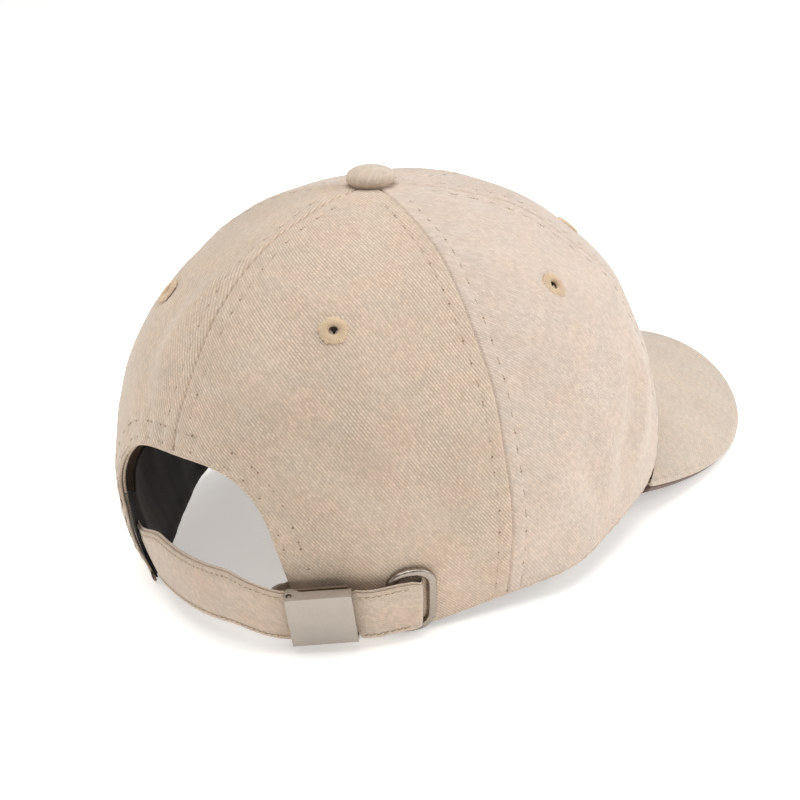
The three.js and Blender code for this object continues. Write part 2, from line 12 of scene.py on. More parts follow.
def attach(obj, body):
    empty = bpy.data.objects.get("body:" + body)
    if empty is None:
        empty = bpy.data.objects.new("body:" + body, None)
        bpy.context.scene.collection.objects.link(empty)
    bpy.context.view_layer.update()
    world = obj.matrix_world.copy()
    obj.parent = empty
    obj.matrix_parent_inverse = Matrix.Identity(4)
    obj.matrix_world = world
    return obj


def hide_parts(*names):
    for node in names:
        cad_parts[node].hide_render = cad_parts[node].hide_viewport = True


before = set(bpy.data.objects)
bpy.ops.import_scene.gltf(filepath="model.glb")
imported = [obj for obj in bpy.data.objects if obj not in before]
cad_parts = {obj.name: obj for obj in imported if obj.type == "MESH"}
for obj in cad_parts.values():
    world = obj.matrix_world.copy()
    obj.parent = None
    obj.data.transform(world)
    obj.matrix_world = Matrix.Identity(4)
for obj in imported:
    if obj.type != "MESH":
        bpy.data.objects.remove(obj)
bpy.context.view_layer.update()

# ---- sizes, as in the CAD source ----
HALF_LENGTH, HALF_WIDTH, WIDEST_Z, RISE = 100, 82, 6.5, 113.5
TOP_Z = WIDEST_Z + RISE
ROUND_N, ROUND_M = 2.78, 2.16   # fullness of the shoulders and of the top
BULGE, EGG = 0.026, -0.054      # belly of the walls, widening toward the front
TUCK, TUCK_Z = 0.075, 34        # how far, and up to where, the back rim is drawn in
APEX_SHIFT, APEX_RADIUS = 3, 3.4
RIM_Z, RIM_SLOPE, RIM_LEVEL_Y = 1, 0.125, 62
SEAMS = [0, 72, 129.5, 180, 230.5, 288, 360]
ARCH_HALF, ARCH_TOP, ARCH_P = 37.5, 58.5, 3
CLOTH = 1.0
TAPE_HALF, TAPE_RADIUS = 6, 15
SWEAT_DEPTH, SWEAT_THICK, SWEAT_HEIGHT = 5.0, 0.9, 31
VISOR_Z, VISOR_ARCH, VISOR_PITCH = 33.2, 0.0058, 0.256
VISOR_START, VISOR_LENGTH, VISOR_FLARE, VISOR_ROUND = 117.6, 66.5, 0.124, 0.813
STRAP_THICK, STRAP_Z, STRAP_HALF = 1.4, 12.4, 9.4
STRAP_LEVEL, STRAP_RISE = 2.6, 4.6
BUCKLE_DEG, BUCKLE_Z, TAB_HALF = 34.0, 14.6, 7.4
RING_DEG, RING_Z, RING_RISE = 51.6, 13.3, 2.7
BUTTON_RADIUS, BUTTON_RISE = 8, 6.6

# ---- sewing and loose cloth, only in the looks ----
EYELETS = [(37.2, 94.4), (100.75, 93), (154.75, 93), (205.25, 93), (259.25, 93), (326.2, 93.8)]
EYELET_CUT, EYELET_CUT_LINING = 1.9, 2.2  # radius of the hole in each face of a panel
SEAM_ROW = 4.7                  # stitch rows on both sides of a seam
ARCH_ROWS = (2.6, 7.6)          # stitch rows round the opening
STRAP_ROW = 1.5                 # stitch rows in from the strap's edges
STRAP_FULL, STRAP_GRIP = 9.5, 6.9  # half width of the loose strap, and where the buckle holds it
STRAP_INSIDE = 1.85             # cloth and room between the panel and the strap's tucked end
FOLD_GAIN, FOLD_STEPS = 1.35, 22
SWING = 5.0                     # how far the loose corner follows the strap
VISOR_TRIM = 0.8                # degrees left free at each corner of the visor
VISOR_MIDDLE, VISOR_DEEP = 2.2, 4.1  # depths of the visor's seam line and of its lower face
# The lower cover hangs deeper at the visor's corners so that its dark painted-shade colour shows there as the
# shadow under the corners.
VISOR_HANG = 4.4                # how much deeper the lower cover lies at the corners


def smooth(x, a, b):
    """An eased step, 0 up to a and 1 from b."""
    s = np.clip((x - a) / (b - a), 0, 1)
    return s * s * (3 - 2 * s)


def mix(a, b, s):
    return a + (b - a) * s


def floats(*values):
    """Numbers or arrays as float arrays of one shape."""
    return np.broadcast_arrays(*[np.asarray(v, float) for v in values])


def unit(v):
    return v / np.maximum(np.linalg.norm(v, axis=-1, keepdims=True), 1e-9)


def running(p):
    """Distance along a line of points."""
    return np.concatenate([[0], np.cumsum(np.linalg.norm(np.diff(p, axis=0), axis=1))])


def at_run(s, run, p):
    """The points at distances s along a line of points."""
    return np.stack([np.interp(s, run, p[:, i]) for i in range(3)], -1)


def pairs(a, b):
    """Two arrays as texture coordinates."""
    return np.stack(floats(a, b), -1)


def from_back(deg):
    """Angle from the back seam, 0 to 180 either way round."""
    return np.abs((deg + 540) % 360 - 180)


def crown_point(deg, z):
    """The crown's smooth face at an angle round from the back seam and a height."""
    deg, z = floats(deg, z)
    t = np.radians(deg)
    h = np.clip((z - WIDEST_Z) / RISE, 0, 1)
    full = (1 - h ** ROUND_N) ** (1 / ROUND_M)
    belly = 1 + BULGE * 4 * h * (1 - h)
    back = 1 - smooth(from_back(deg), 55, 95)
    low = np.clip(1 - z / TUCK_Z, 0, 1)
    r = full * belly * (1 - TUCK * back * low * low)
    x = -HALF_WIDTH * np.sin(t) * r * (1 + EGG * np.cos(t))
    return np.stack([x, HALF_LENGTH * np.cos(t) * r + APEX_SHIFT * h * h, z], -1)


def crown_normal(deg, z):
    """Direction out from the crown, never below level."""
    deg, z = floats(deg, z)
    z0 = np.minimum(z, TOP_Z - 0.4)
    along = crown_point(deg + 0.1, z0) - crown_point(deg - 0.1, z0)
    up = crown_point(deg, z0 + 0.2) - crown_point(deg, z0 - 0.2)
    n = unit(np.cross(up, along))
    t = np.radians(deg)
    side = -np.sin(t) * n[..., 0] + np.cos(t) * n[..., 1] + 0.3 * n[..., 2]
    n = np.where((side < 0)[..., None], -n, n)
    n[..., 2] = np.maximum(n[..., 2], 0)
    return unit(n)


def per_degree(deg, z):
    """Millimetres round the crown in one degree."""
    return np.linalg.norm(crown_point(deg + 0.5, z) - crown_point(deg - 0.5, z), axis=-1)


def crown_at(deg, z, out):
    """A point a distance out from the crown."""
    return crown_point(deg, z) + crown_normal(deg, z) * np.asarray(out)[..., None]


def visor_top(x, y):
    """Height of the visor's upper face."""
    return VISOR_Z - VISOR_ARCH * x * x - VISOR_PITCH * (-y - HALF_LENGTH)


def rim_z(deg):
    """Height of the crown's lower edge, which meets the visor at the front."""
    deg = np.asarray(deg, float)
    p = crown_point(deg, WIDEST_Z)
    side = RIM_Z + RIM_SLOPE * np.maximum(0, RIM_LEVEL_Y - p[..., 1])
    front = np.maximum(side, visor_top(p[..., 0], p[..., 1]) - 3.4)
    return np.where(from_back(deg) < VISOR_START, side, front)


# ---- how the cloth lies: soft folds, and the corner of the opening that follows the strap ----
FOLDS = [  # path as (degrees, height) pairs, half width, depth (+ out, - in)
    ([(-8, 117), (-14, 109), (-20, 97), (-20, 82), (-14, 70)], 3.6, -1.0),
    ([(4, 115.5), (-5, 110), (-12, 99), (-13, 88)], 6.0, 0.9),
    ([(-40, 104), (-38, 92), (-32, 78)], 7.0, 1.0),
    ([(26, 72), (33, 66), (40, 59), (46, 49)], 6.0, -1.1),
    ([(30, 58), (35, 52), (40, 43), (44, 31), (46, 20)], 6.0, 1.0),
    ([(55, 60), (58, 44), (60, 30)], 7.0, -0.8),
    ([(20, 100), (26, 96), (30, 90)], 6.0, -0.7),
    ([(12, 84), (24, 82), (40, 86)], 9.0, 0.6),
    ([(115, 66), (108, 48), (104, 34)], 3.6, -0.9),
    ([(122, 66), (114, 46), (110, 32)], 3.8, 0.9),
    ([(133, 60), (124, 44), (118, 33)], 3.8, -0.9),
    ([(96, 58), (97, 40), (99, 24)], 4.0, 0.8),
    ([(88, 50), (92, 34), (96, 16)], 4.0, -0.8),
    ([(-60, 60), (-56, 40), (-50, 24)], 5.0, 0.9),
    ([(-72, 66), (-78, 42), (-80, 24)], 5.0, -0.9),
    ([(-110, 64), (-106, 44), (-104, 26)], 5.0, 0.8),
    ([(-128, 62), (-122, 44), (-120, 32)], 4.5, -0.8),
    ([(160, 80), (158, 60), (162, 44)], 8.0, 0.7),
    ([(-160, 84), (-164, 62), (-158, 46)], 8.0, -0.6),
]


def run_points(path, n):
    """A path of (degrees, height) pairs as n even steps."""
    path = np.array(path, float)
    s = np.linspace(0, len(path) - 1, n)
    at = np.arange(len(path))
    return np.interp(s, at, path[:, 0]), np.interp(s, at, path[:, 1])


def make_folds():
    """Line, fading ends, width and depth of each fold."""
    made = []
    for path, width, depth in FOLDS:
        d, z = run_points(path, FOLD_STEPS)
        ends = np.sin(np.pi * np.linspace(0.08, 0.92, FOLD_STEPS)) ** 0.7
        made.append((crown_point(d, z), ends, width, depth))
    return made


FOLD_RUNS = make_folds()
rng = np.random.default_rng(7)
WAVES = [(unit(rng.normal(size=3)) * 2 * math.pi / w, rng.uniform(0, 6.28), a)
         for w, a in [(62, 0.34), (48, 0.3), (37, 0.22), (30, 0.16), (23, 0.1), (17, 0.06), (12, 0.03)]
         for _ in range(2)]


def folds(p):
    """How far the folds and broad waves push each point out."""
    flat = p.reshape(-1, 3)
    total = np.zeros(len(flat))
    for line, ends, width, depth in FOLD_RUNS:
        near = np.nonzero(np.abs(flat - line.mean(0)).max(1) < 70)[0]
        if len(near) == 0:
            continue
        d2 = ((flat[near, None, :] - line[None]) ** 2).sum(-1)
        bump = (np.exp(-d2 / (2 * width * width)) * ends).max(1)
        total[near] += FOLD_GAIN * depth * bump
    for k, phase, size in WAVES:
        total += size * np.sin(flat @ k + phase)
    fade = np.clip((TOP_Z + 1 - flat[:, 2]) / 6, 0.15, 1)
    return (total * fade).reshape(p.shape[:-1])


def drape(deg, z):
    """The lower left corner of the opening is pulled along by the strap, with a kink above it."""
    left = (np.asarray(deg, float) + 180) % 360 - 180
    pull = smooth(-left, -8, 16) * (1 - smooth(-left, 50, 90)) * (1 - smooth(z, 26, 41))
    n = crown_normal(deg, np.zeros_like(z) + 8)
    along = np.stack([-n[..., 1], n[..., 0], np.zeros_like(n[..., 0])], -1)
    return along * (SWING * pull)[..., None]


def skin(deg, z, out=0.0):
    """Where the soft cloth lies, a distance out from its face."""
    deg, z, out = floats(deg, z, out)
    p = crown_point(deg, z)
    return p + crown_normal(deg, z) * (out + folds(p))[..., None] + drape(deg, z)


# ---- mesh building ----
class Soup:
    """Vertices, faces and texture coordinates of one piece, gathered before its mesh is made."""

    def __init__(self):
        self.points, self.uvs, self.quads, self.polys, self.count = [], [], [], [], 0

    def grid(self, p, uv=None, flip=False):
        """Adds a grid of points joined by quads."""
        nu, nv = p.shape[:2]
        ids = np.arange(nu * nv).reshape(nu, nv) + self.count
        quad = np.stack([ids[:-1, :-1], ids[1:, :-1], ids[1:, 1:], ids[:-1, 1:]], -1).reshape(-1, 4)
        self.quads.append(quad[:, ::-1] if flip else quad)
        self.add(p.reshape(-1, 3), None if uv is None else uv.reshape(-1, 2))

    def add(self, p, uv=None):
        self.points.append(p)
        self.uvs.append(np.zeros((len(p), 2)) if uv is None else uv)
        self.count += len(p)

    def faces(self, p, polys, uv=None):
        """Adds points with faces of any number of corners."""
        self.polys += [[i + self.count for i in f] for f in polys]
        self.add(p, uv)


def piece(name, soup, material, replaces=()):
    """One visible piece of the cap body, and the CAD nodes it stands for."""
    co = np.concatenate(soup.points) / 1000
    uv = np.concatenate(soup.uvs)
    quads = np.concatenate(soup.quads) if soup.quads else np.zeros((0, 4), int)
    loops = np.concatenate([quads.ravel()] + [np.array(f) for f in soup.polys]).astype(np.int32)
    sizes = np.concatenate([np.full(len(quads), 4), np.array([len(f) for f in soup.polys], int)])
    starts = np.concatenate([[0], np.cumsum(sizes)[:-1]]).astype(np.int32)
    mesh = bpy.data.meshes.new(name)
    mesh.vertices.add(len(co))
    mesh.vertices.foreach_set("co", co.astype(np.float32).ravel())
    mesh.loops.add(len(loops))
    mesh.loops.foreach_set("vertex_index", loops)
    mesh.polygons.add(len(sizes))
    mesh.polygons.foreach_set("loop_start", starts)
    mesh.polygons.foreach_set("use_smooth", np.ones(len(sizes), bool))
    layer = mesh.uv_layers.new(name="UVMap")
    layer.data.foreach_set("uv", uv[loops].astype(np.float32).ravel())
    mesh.update(calc_edges=True)
    mesh.validate()
    mesh.materials.append(material)
    obj = bpy.data.objects.new(name, mesh)
    bpy.context.scene.collection.objects.link(obj)
    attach(obj, "cap")
    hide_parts(*replaces)


def even_heights(deg, z0, z1, rows):
    """Heights that split the wall at one angle into even steps, rows + 1 of them."""
    s = 1 - (1 - np.linspace(0, 1, 260)) ** 2.4
    z = np.minimum(mix(z0, z1, s), TOP_Z - 1e-4)
    p = crown_point(np.full_like(z, deg), z)
    run = running(p)
    steps = rows if np.ndim(rows) else np.linspace(0, 1, rows + 1)
    return np.interp(np.asarray(steps) * run[-1], run, z)


def wall_uv(deg, z, mid):
    """Distances across and up the cloth, in metres, from the middle line of a panel."""
    zs = np.linspace(-8, TOP_Z - 1e-3, 500)
    p = crown_point(np.full_like(zs, mid), zs)
    run = running(p)
    return np.stack([(deg - mid) * per_degree(deg, z), np.interp(z, zs, run)], -1) / 1000


def offset(deg, z, dist):
    """A path on the wall moved sideways by a distance across its own direction."""
    p = crown_point(deg, z)
    tangent = unit(np.gradient(p, axis=0))
    pd = (crown_point(deg + 0.1, z) - crown_point(deg - 0.1, z)) / 0.2
    pz = (crown_point(deg, z + 0.1) - crown_point(deg, z - 0.1)) / 0.2
    side = unit(np.cross(crown_normal(deg, z), tangent)) * dist
    a, b, c = (pd * pd).sum(-1), (pd * pz).sum(-1), (pz * pz).sum(-1)
    u, v = (side * pd).sum(-1), (side * pz).sum(-1)
    det = a * c - b * b
    return deg + (u * c - v * b) / det, z + (v * a - u * b) / det


def even_path(deg, z, step):
    """The same path in even steps along the cloth."""
    p = skin(deg, z)
    run = running(p)
    n = max(int(round(run[-1] / step)), 2)
    s = np.linspace(0, run[-1], n + 1)
    return np.interp(s, run, deg), np.interp(s, run, z)


def arch_line(n):
    """The rear opening from its left foot over the top to its right foot."""
    a = np.linspace(math.pi, 0, n)[::-1]
    e = 2 / ARCH_P
    x = ARCH_HALF * np.sign(np.cos(a)) * np.abs(np.cos(a)) ** e
    z = np.maximum(ARCH_TOP * np.sin(a) ** e, RIM_Z)
    lo, hi = np.full(n, -60.0), np.full(n, 60.0)
    for _ in range(40):
        m = (lo + hi) / 2
        over = crown_point(m, z)[:, 0] > x
        lo, hi = np.where(over, m, lo), np.where(over, hi, m)
    return (lo + hi) / 2, z


ARCH = arch_line(500)
ARCH_POINTS = crown_point(*ARCH)
ARCH_RUN = running(ARCH_POINTS)


def arch_distance(p):
    """Distance to the edge of the opening, negative inside it, and the place along the edge."""
    flat = p.reshape(-1, 3)
    dist, run = np.full(len(flat), 40.0), np.zeros(len(flat))
    near = (flat[:, 1] > 40) & (flat[:, 2] < ARCH_TOP + 30) & (np.abs(flat[:, 0]) < 66)
    near = np.nonzero(near)[0]
    for part in np.array_split(near, max(1, len(near) // 4000)):
        d = np.linalg.norm(flat[part, None] - ARCH_POINTS[None], axis=-1)
        k = d.argmin(1)
        dist[part], run[part] = d[np.arange(len(part)), k], ARCH_RUN[k]
    x, z = np.abs(flat[:, 0]) / ARCH_HALF, np.maximum(flat[:, 2], 0) / ARCH_TOP
    inside = (x ** ARCH_P + z ** ARCH_P < 1) & (flat[:, 1] > 0)
    dist = np.where(inside, -dist, dist)
    return dist.reshape(p.shape[:-1]), run.reshape(p.shape[:-1])


def cut_grid(deg, z, field):
    """Keeps the part of a grid where the field is positive, with exact edges."""
    nu, nv = deg.shape
    points = [np.stack([deg.ravel(), z.ravel()], -1)]
    f = field.ravel()
    ids = np.arange(nu * nv).reshape(nu, nv)
    quad = np.stack([ids[:-1, :-1], ids[1:, :-1], ids[1:, 1:], ids[:-1, 1:]], -1).reshape(-1, 4)
    whole = (f[quad] > 0).all(1)
    mixed = (f[quad] > 0).any(1) & ~whole
    extra, cache, polys = [], {}, []
    for q in quad[mixed]:
        ring = []
        for k in range(4):
            a, b = int(q[k]), int(q[(k + 1) % 4])
            if f[a] > 0:
                ring.append(a)
            if (f[a] > 0) != (f[b] > 0):
                key = (min(a, b), max(a, b))
                if key not in cache:
                    s = f[a] / (f[a] - f[b])
                    cache[key] = nu * nv + len(extra)
                    extra.append(points[0][a] * (1 - s) + points[0][b] * s)
                ring.append(cache[key])
        if len(ring) > 2:
            polys.append(ring)
    every = np.concatenate([points[0], np.array(extra).reshape(-1, 2)])
    used = np.zeros(len(every), bool)
    used[quad[whole].ravel()] = True
    for ring in polys:
        used[ring] = True
    new = np.cumsum(used) - 1
    return every[used, 0], every[used, 1], new[quad[whole]], [[int(new[i]) for i in r] for r in polys]


# ---- materials ----
class Graph:
    """Short calls for building one node material."""

    def __init__(self, name):
        self.mat = bpy.data.materials.new(name)
        self.mat.use_nodes = True
        self.tree = self.mat.node_tree
        self.tree.nodes.clear()

    def node(self, kind, inputs=None, **props):
        """A node with its inputs linked or set."""
        n = self.tree.nodes.new("ShaderNode" + kind)
        for k, v in props.items():
            setattr(n, k, v)
        for k, v in (inputs or {}).items():
            if isinstance(v, bpy.types.NodeSocket):
                self.tree.links.new(v, n.inputs[k])
            else:
                n.inputs[k].default_value = v
        return n

    def math(self, op, a, b=0.0, c=0.0):
        return self.node("Math", {0: a, 1: b, 2: c}, operation=op).outputs[0]

    def colour(self, factor, a, b, blend="MIX"):
        """Two colours mixed or multiplied."""
        n = self.node("Mix", data_type="RGBA", blend_type=blend)
        for socket, v in ((n.inputs[0], factor), (n.inputs[6], a), (n.inputs[7], b)):
            if isinstance(v, bpy.types.NodeSocket):
                self.tree.links.new(v, socket)
            else:
                socket.default_value = v
        return n.outputs[2]

    def noise(self, at, scale, detail=2.0, rough=0.5, size=(1, 1, 1)):
        """Soft noise, stretched by axis."""
        m = self.node("Mapping", {"Vector": at, "Scale": size})
        return self.node("TexNoise", {"Vector": m.outputs[0], "Scale": scale, "Detail": detail,
                                      "Roughness": rough}).outputs["Fac"]

    def span(self, x, lo, hi, to_lo=0.0, to_hi=1.0):
        """A value moved from one range to another."""
        return self.node("MapRange", {0: x, 1: lo, 2: hi, 3: to_lo, 4: to_hi}).outputs[0]

    def tinted(self, base, tone):
        """A base colour made darker and lighter by a tone."""
        grey = self.node("CombineColor", {0: tone, 1: tone, 2: tone}).outputs[0]
        return self.colour(1.0, base, grey, "MULTIPLY")

    def on_cloth(self):
        """Place on the cloth in millimetres, from its texture coordinates."""
        uv = self.node("UVMap", uv_map="UVMap").outputs[0]
        return self.node("VectorMath", {0: uv, 1: (1000, 1000, 1000)}, operation="MULTIPLY").outputs[0]

    def ridge(self, place, sharpness):
        """Rounded ridges one unit apart."""
        swing = self.math("MULTIPLY_ADD", self.math("FRACT", place), 2.0, -1.0)
        return self.math("SUBTRACT", 1.0, self.math("POWER", self.math("ABSOLUTE", swing), sharpness))

    def surface(self, colour, height=None, strength=0.5, distance=0.0003, **values):
        """Ends the material in a shader, with the height as a bump."""
        shade = self.node("BsdfPrincipled", {"Base Color": colour, **values})
        if height is not None:
            bump = self.node("Bump", {"Height": height, "Strength": strength, "Distance": distance})
            self.tree.links.new(bump.outputs[0], shade.inputs["Normal"])
        out = self.node("OutputMaterial")
        self.tree.links.new(shade.outputs[0], out.inputs[0])
        return self.mat


def srgb(*values):
    """A colour of 0 to 255 values as the shader's linear colour."""
    low = [c / 255 / 12.92 for c in values]
    high = [((c / 255 + 0.055) / 1.055) ** 2.4 for c in values]
    return tuple(a if c <= 10 else b for a, b, c in zip(low, high, values)) + (1,)


def twill(name, base, pitch=0.88, angle=50.0, depth=1.0, contrast=1.3):
    """Diagonal twill: rounded ridges split into floats, with lighter and darker yarns."""
    g = Graph(name)
    mm = g.on_cloth()
    wobble = g.noise(mm, 0.5, 2.0)
    xyz = g.node("SeparateXYZ", {0: mm})
    a = math.radians(angle)
    across = g.math("ADD", g.math("MULTIPLY", xyz.outputs[0], math.sin(a) / pitch),
                    g.math("MULTIPLY", xyz.outputs[1], math.cos(a) / pitch))
    across = g.math("ADD", across, g.math("MULTIPLY", wobble, 0.55))
    along = g.math("ADD", g.math("MULTIPLY", xyz.outputs[0], math.cos(a) / 1.5),
                   g.math("MULTIPLY", xyz.outputs[1], -math.sin(a) / 1.5))
    row = g.math("FLOOR", across)
    along = g.math("ADD", along, g.math("MULTIPLY", row, 0.37))
    knot = g.ridge(along, 4.0)
    weave = g.math("MULTIPLY", g.ridge(across, 2.2), g.math("MULTIPLY_ADD", knot, 0.4, 0.6))
    cell = g.node("CombineXYZ", {0: row, 1: g.math("FLOOR", along)}).outputs[0]
    yarn = g.node("TexWhiteNoise", {"Vector": cell}).outputs["Value"]
    slub = g.noise(mm, 1.0, 3.0, 0.65, (2.4, 0.35, 1))
    weft = g.noise(mm, 1.0, 3.0, 0.65, (0.3, 2.6, 1))
    blot = g.noise(mm, 0.055, 3.0, 0.6)
    warm = g.noise(mm, 0.07, 2.0, 0.5, (1, 1.4, 1))
    fuzz = g.noise(mm, 5.0, 2.0, 0.6)
    worn = g.span(g.noise(mm, 0.035, 2.0, 0.5), 0.38, 0.62, 0.45, 1.0)
    lines = g.span(weave, 0.0, 1.0, -0.26 * contrast, 0.09 * contrast)
    tone = g.math("MULTIPLY_ADD", lines, worn, 1.0)
    tone = g.math("MULTIPLY", tone, g.span(yarn, 0, 1, 0.93, 1.07))
    tone = g.math("MULTIPLY", tone, g.span(slub, 0.3, 0.7, 0.92, 1.08))
    tone = g.math("MULTIPLY", tone, g.span(weft, 0.3, 0.7, 0.955, 1.045))
    tone = g.math("MULTIPLY", tone, g.span(blot, 0.3, 0.7, 0.96, 1.035))
    warmer = tuple(c * k for c, k in zip(base, (1.02, 0.99, 0.97, 1)))
    cooler = tuple(c * k for c, k in zip(base, (0.985, 1.005, 1.02, 1)))
    colour = g.tinted(g.colour(g.span(warm, 0.35, 0.65), warmer, cooler), tone)
    height = g.math("ADD", g.math("MULTIPLY", weave, 0.75), g.math("MULTIPLY", fuzz, 0.35))
    return g.surface(colour, height, 0.55 * depth, 0.00028, Roughness=0.92,
                     **{"Sheen Weight": 0.42, "Sheen Roughness": 0.45,
                        "Sheen Tint": (1.0, 0.97, 0.94, 1), "Specular IOR Level": 0.18})


def plain_weave(name, base, pitch=0.5, depth=0.5, rough=0.9, sheen=0.2, contrast=0.25):
    """Fine over-and-under weave."""
    g = Graph(name)
    mm = g.on_cloth()
    xyz = g.node("SeparateXYZ", {0: mm})
    k = math.pi / pitch
    sx = g.math("SINE", g.math("MULTIPLY", xyz.outputs[0], k))
    sy = g.math("SINE", g.math("MULTIPLY", xyz.outputs[1], k))
    check = g.math("MULTIPLY", sx, sy)
    weave = g.math("ABSOLUTE", check)
    slub = g.noise(mm, 1.0, 3.0, 0.6, (0.3, 2.5, 1))
    blot = g.noise(mm, 0.12, 3.0)
    tone = g.span(check, -1, 1, 1 - contrast, 1 + contrast * 0.5)
    tone = g.math("MULTIPLY", tone, g.span(slub, 0.3, 0.7, 0.88, 1.1))
    tone = g.math("MULTIPLY", tone, g.span(blot, 0.3, 0.7, 0.94, 1.05))
    height = g.math("ADD", weave, g.math("MULTIPLY", slub, 0.5))
    return g.surface(g.tinted(base, tone), height, depth, 0.00018, Roughness=rough,
                     **{"Sheen Weight": sheen, "Sheen Roughness": 0.5, "Specular IOR Level": 0.2})


def herringbone(name, base):
    """Narrow tape woven with a zigzag rib."""
    g = Graph(name)
    mm = g.on_cloth()
    xyz = g.node("SeparateXYZ", {0: mm})
    zig = g.math("PINGPONG", xyz.outputs[0], 1.9)
    ridge = g.ridge(g.math("DIVIDE", g.math("ADD", xyz.outputs[1], zig), 0.85), 2.0)
    slub = g.noise(mm, 1.2, 3.0, 0.6, (2.0, 0.4, 1))
    tone = g.math("MULTIPLY", g.span(ridge, 0, 1, 0.8, 1.04), g.span(slub, 0.3, 0.7, 0.92, 1.07))
    return g.surface(g.tinted(base, tone), ridge, 0.5, 0.0002, Roughness=0.9,
                     **{"Sheen Weight": 0.2, "Specular IOR Level": 0.2})


def thread(name, base, dark=0.75):
    """Spun sewing thread with a fine twist along its length."""
    g = Graph(name)
    uv = g.node("UVMap", uv_map="UVMap").outputs[0]
    xyz = g.node("SeparateXYZ", {0: uv})
    ply = g.math("SINE", g.math("ADD", g.math("MULTIPLY", xyz.outputs[0], 2 * math.pi * 2),
                                g.math("MULTIPLY", xyz.outputs[1], 2 * math.pi * 5)))
    grain = g.noise(uv, 9.0, 3.0, 0.6, (1, 3, 1))
    tone = g.math("MULTIPLY", g.span(ply, -1, 1, dark, 1.05), g.span(grain, 0.3, 0.7, 0.88, 1.1))
    return g.surface(g.tinted(base, tone), ply, 0.4, 0.0001, Roughness=0.75,
                     **{"Sheen Weight": 0.25, "Specular IOR Level": 0.3})


def metal(name, base, rough, brushed=(40, 3000, 3000)):
    """Nickel finish with fine brushing, faint smudges and paler worn spots."""
    g = Graph(name)
    at = g.node("TexCoord").outputs["Object"]
    lines = g.noise(at, 1.0, 4.0, 0.6, brushed)
    broad = g.noise(at, 90.0, 3.0, 0.6)
    pits = g.noise(at, 2600.0, 2.0, 0.5)
    tone = g.math("MULTIPLY", g.span(lines, 0.3, 0.7, 0.93, 1.06), g.span(broad, 0.3, 0.7, 0.94, 1.05))
    tone = g.math("MULTIPLY", tone, g.span(pits, 0.3, 0.7, 0.97, 1.02))
    roughness = g.math("ADD", g.span(lines, 0.3, 0.7, rough - 0.05, rough + 0.06),
                       g.span(broad, 0.3, 0.7, -0.06, 0.06))
    height = g.math("ADD", g.math("MULTIPLY", lines, 0.6), g.math("MULTIPLY", pits, 0.3))
    return g.surface(g.tinted(base, tone), height, 0.12, 0.00008,
                     Metallic=1.0, Roughness=roughness)


# The crown's one fabric in two copies. The darker one with stronger twill lines (back panels, hems, facing
# and visor edge) is painted shade. The lighter, softer one (side and front panels) is painted light. Both
# follow how the light falls on the panels.
M_TWILL_SHADE = twill("twill_beige_painted_shade", srgb(205, 185, 165))
M_TWILL_LIT = twill("twill_soft_painted_light", srgb(208, 190, 175), contrast=0.55, depth=0.75)
M_VISOR = twill("twill_visor", srgb(200, 184, 168), depth=0.7, contrast=0.3)
M_BUTTON = twill("twill_button", srgb(204, 187, 170), depth=0.6, contrast=0.2, pitch=0.9)
M_STRAP = twill("twill_strap", srgb(199, 180, 162), pitch=0.8, angle=28, contrast=0.5, depth=0.8)
# The visor's lower cover is the same fabric darkened to brown: painted shade for the shadow under the visor.
M_UNDER_SHADE = twill("twill_under", srgb(104, 84, 74), depth=0.7, contrast=0.34)
M_THREAD = thread("thread_beige", srgb(208, 190, 168))
M_STRAP_THREAD = thread("thread_strap", srgb(204, 185, 158))
# Needle holes are small sunken cones coloured darker than the strap's cloth and thread: painted shade in the
# holes.
M_STRAP_HOLE_SHADE = plain_weave("needle_hole_strap_painted_shade", srgb(170, 147, 121), pitch=0.2, sheen=0.0)
M_EYELET = thread("thread_eyelet", srgb(222, 196, 165), 0.86)
# The tube lining each eyelet's hole is the eyelet thread darkened: painted shade inside the hole.
M_EYELET_WALL_SHADE = thread("thread_eyelet_wall_painted_shade", srgb(84, 66, 52), 0.9)
# Needle holes are small sunken cones coloured darker than the crown's cloth and thread: painted shade in the
# holes.
M_HOLE_SHADE = plain_weave("needle_hole_painted_shade", srgb(146, 120, 95), pitch=0.2, sheen=0.0)
M_TAPE = herringbone("tape_herringbone", srgb(212, 196, 174))
M_SWEAT = plain_weave("sweatband_black", srgb(28, 28, 32), pitch=0.55, contrast=0.3)
M_METAL = metal("nickel_brushed", srgb(166, 157, 148), 0.36)
M_RING = metal("nickel_satin", srgb(156, 146, 136), 0.27, (900, 900, 900))
# Darker, browner nickel for the parts under the buckle's cover, behind the ring and inside the button:
# painted shade.
M_METAL_SHADE = metal("nickel_painted_shade", srgb(140, 126, 110), 0.42)
M_BOARD = plain_weave("visor_board", srgb(232, 230, 224), pitch=0.9, depth=0.1, rough=0.5, sheen=0)

# ---- crown panels ----
PANELS = ["back_right", "side_right", "front_right", "front_left", "side_left", "back_left"]
SEAM_EDGE = np.array([0, 0.22, 0.5, 0.8, 1.1, 1.7, 2.5, 3.4, 4.1, 4.7, 5.3, 6.2, 7.4])


def height_at(radius):
    """Height where the crown has closed in to a radius round its apex."""
    return WIDEST_Z + RISE * (1 - (radius / 90) ** ROUND_M) ** (1 / ROUND_N)


APEX_TOP = height_at(APEX_RADIUS)


def pucker(d, run, row, strength=1.0):
    """Cloth drawn down along a line of stitches, with small gathers across it."""
    turns = run * 2 * math.pi
    line = -0.12 * np.exp(-((d - row) / 0.7) ** 2) * (0.75 + 0.25 * np.cos(turns / 2.4))
    gather = 0.13 * np.sin(turns / 6.1 + 1.3 * np.sin(run / 9)) * np.exp(-((d - row) / 4) ** 2)
    return strength * (line + gather)


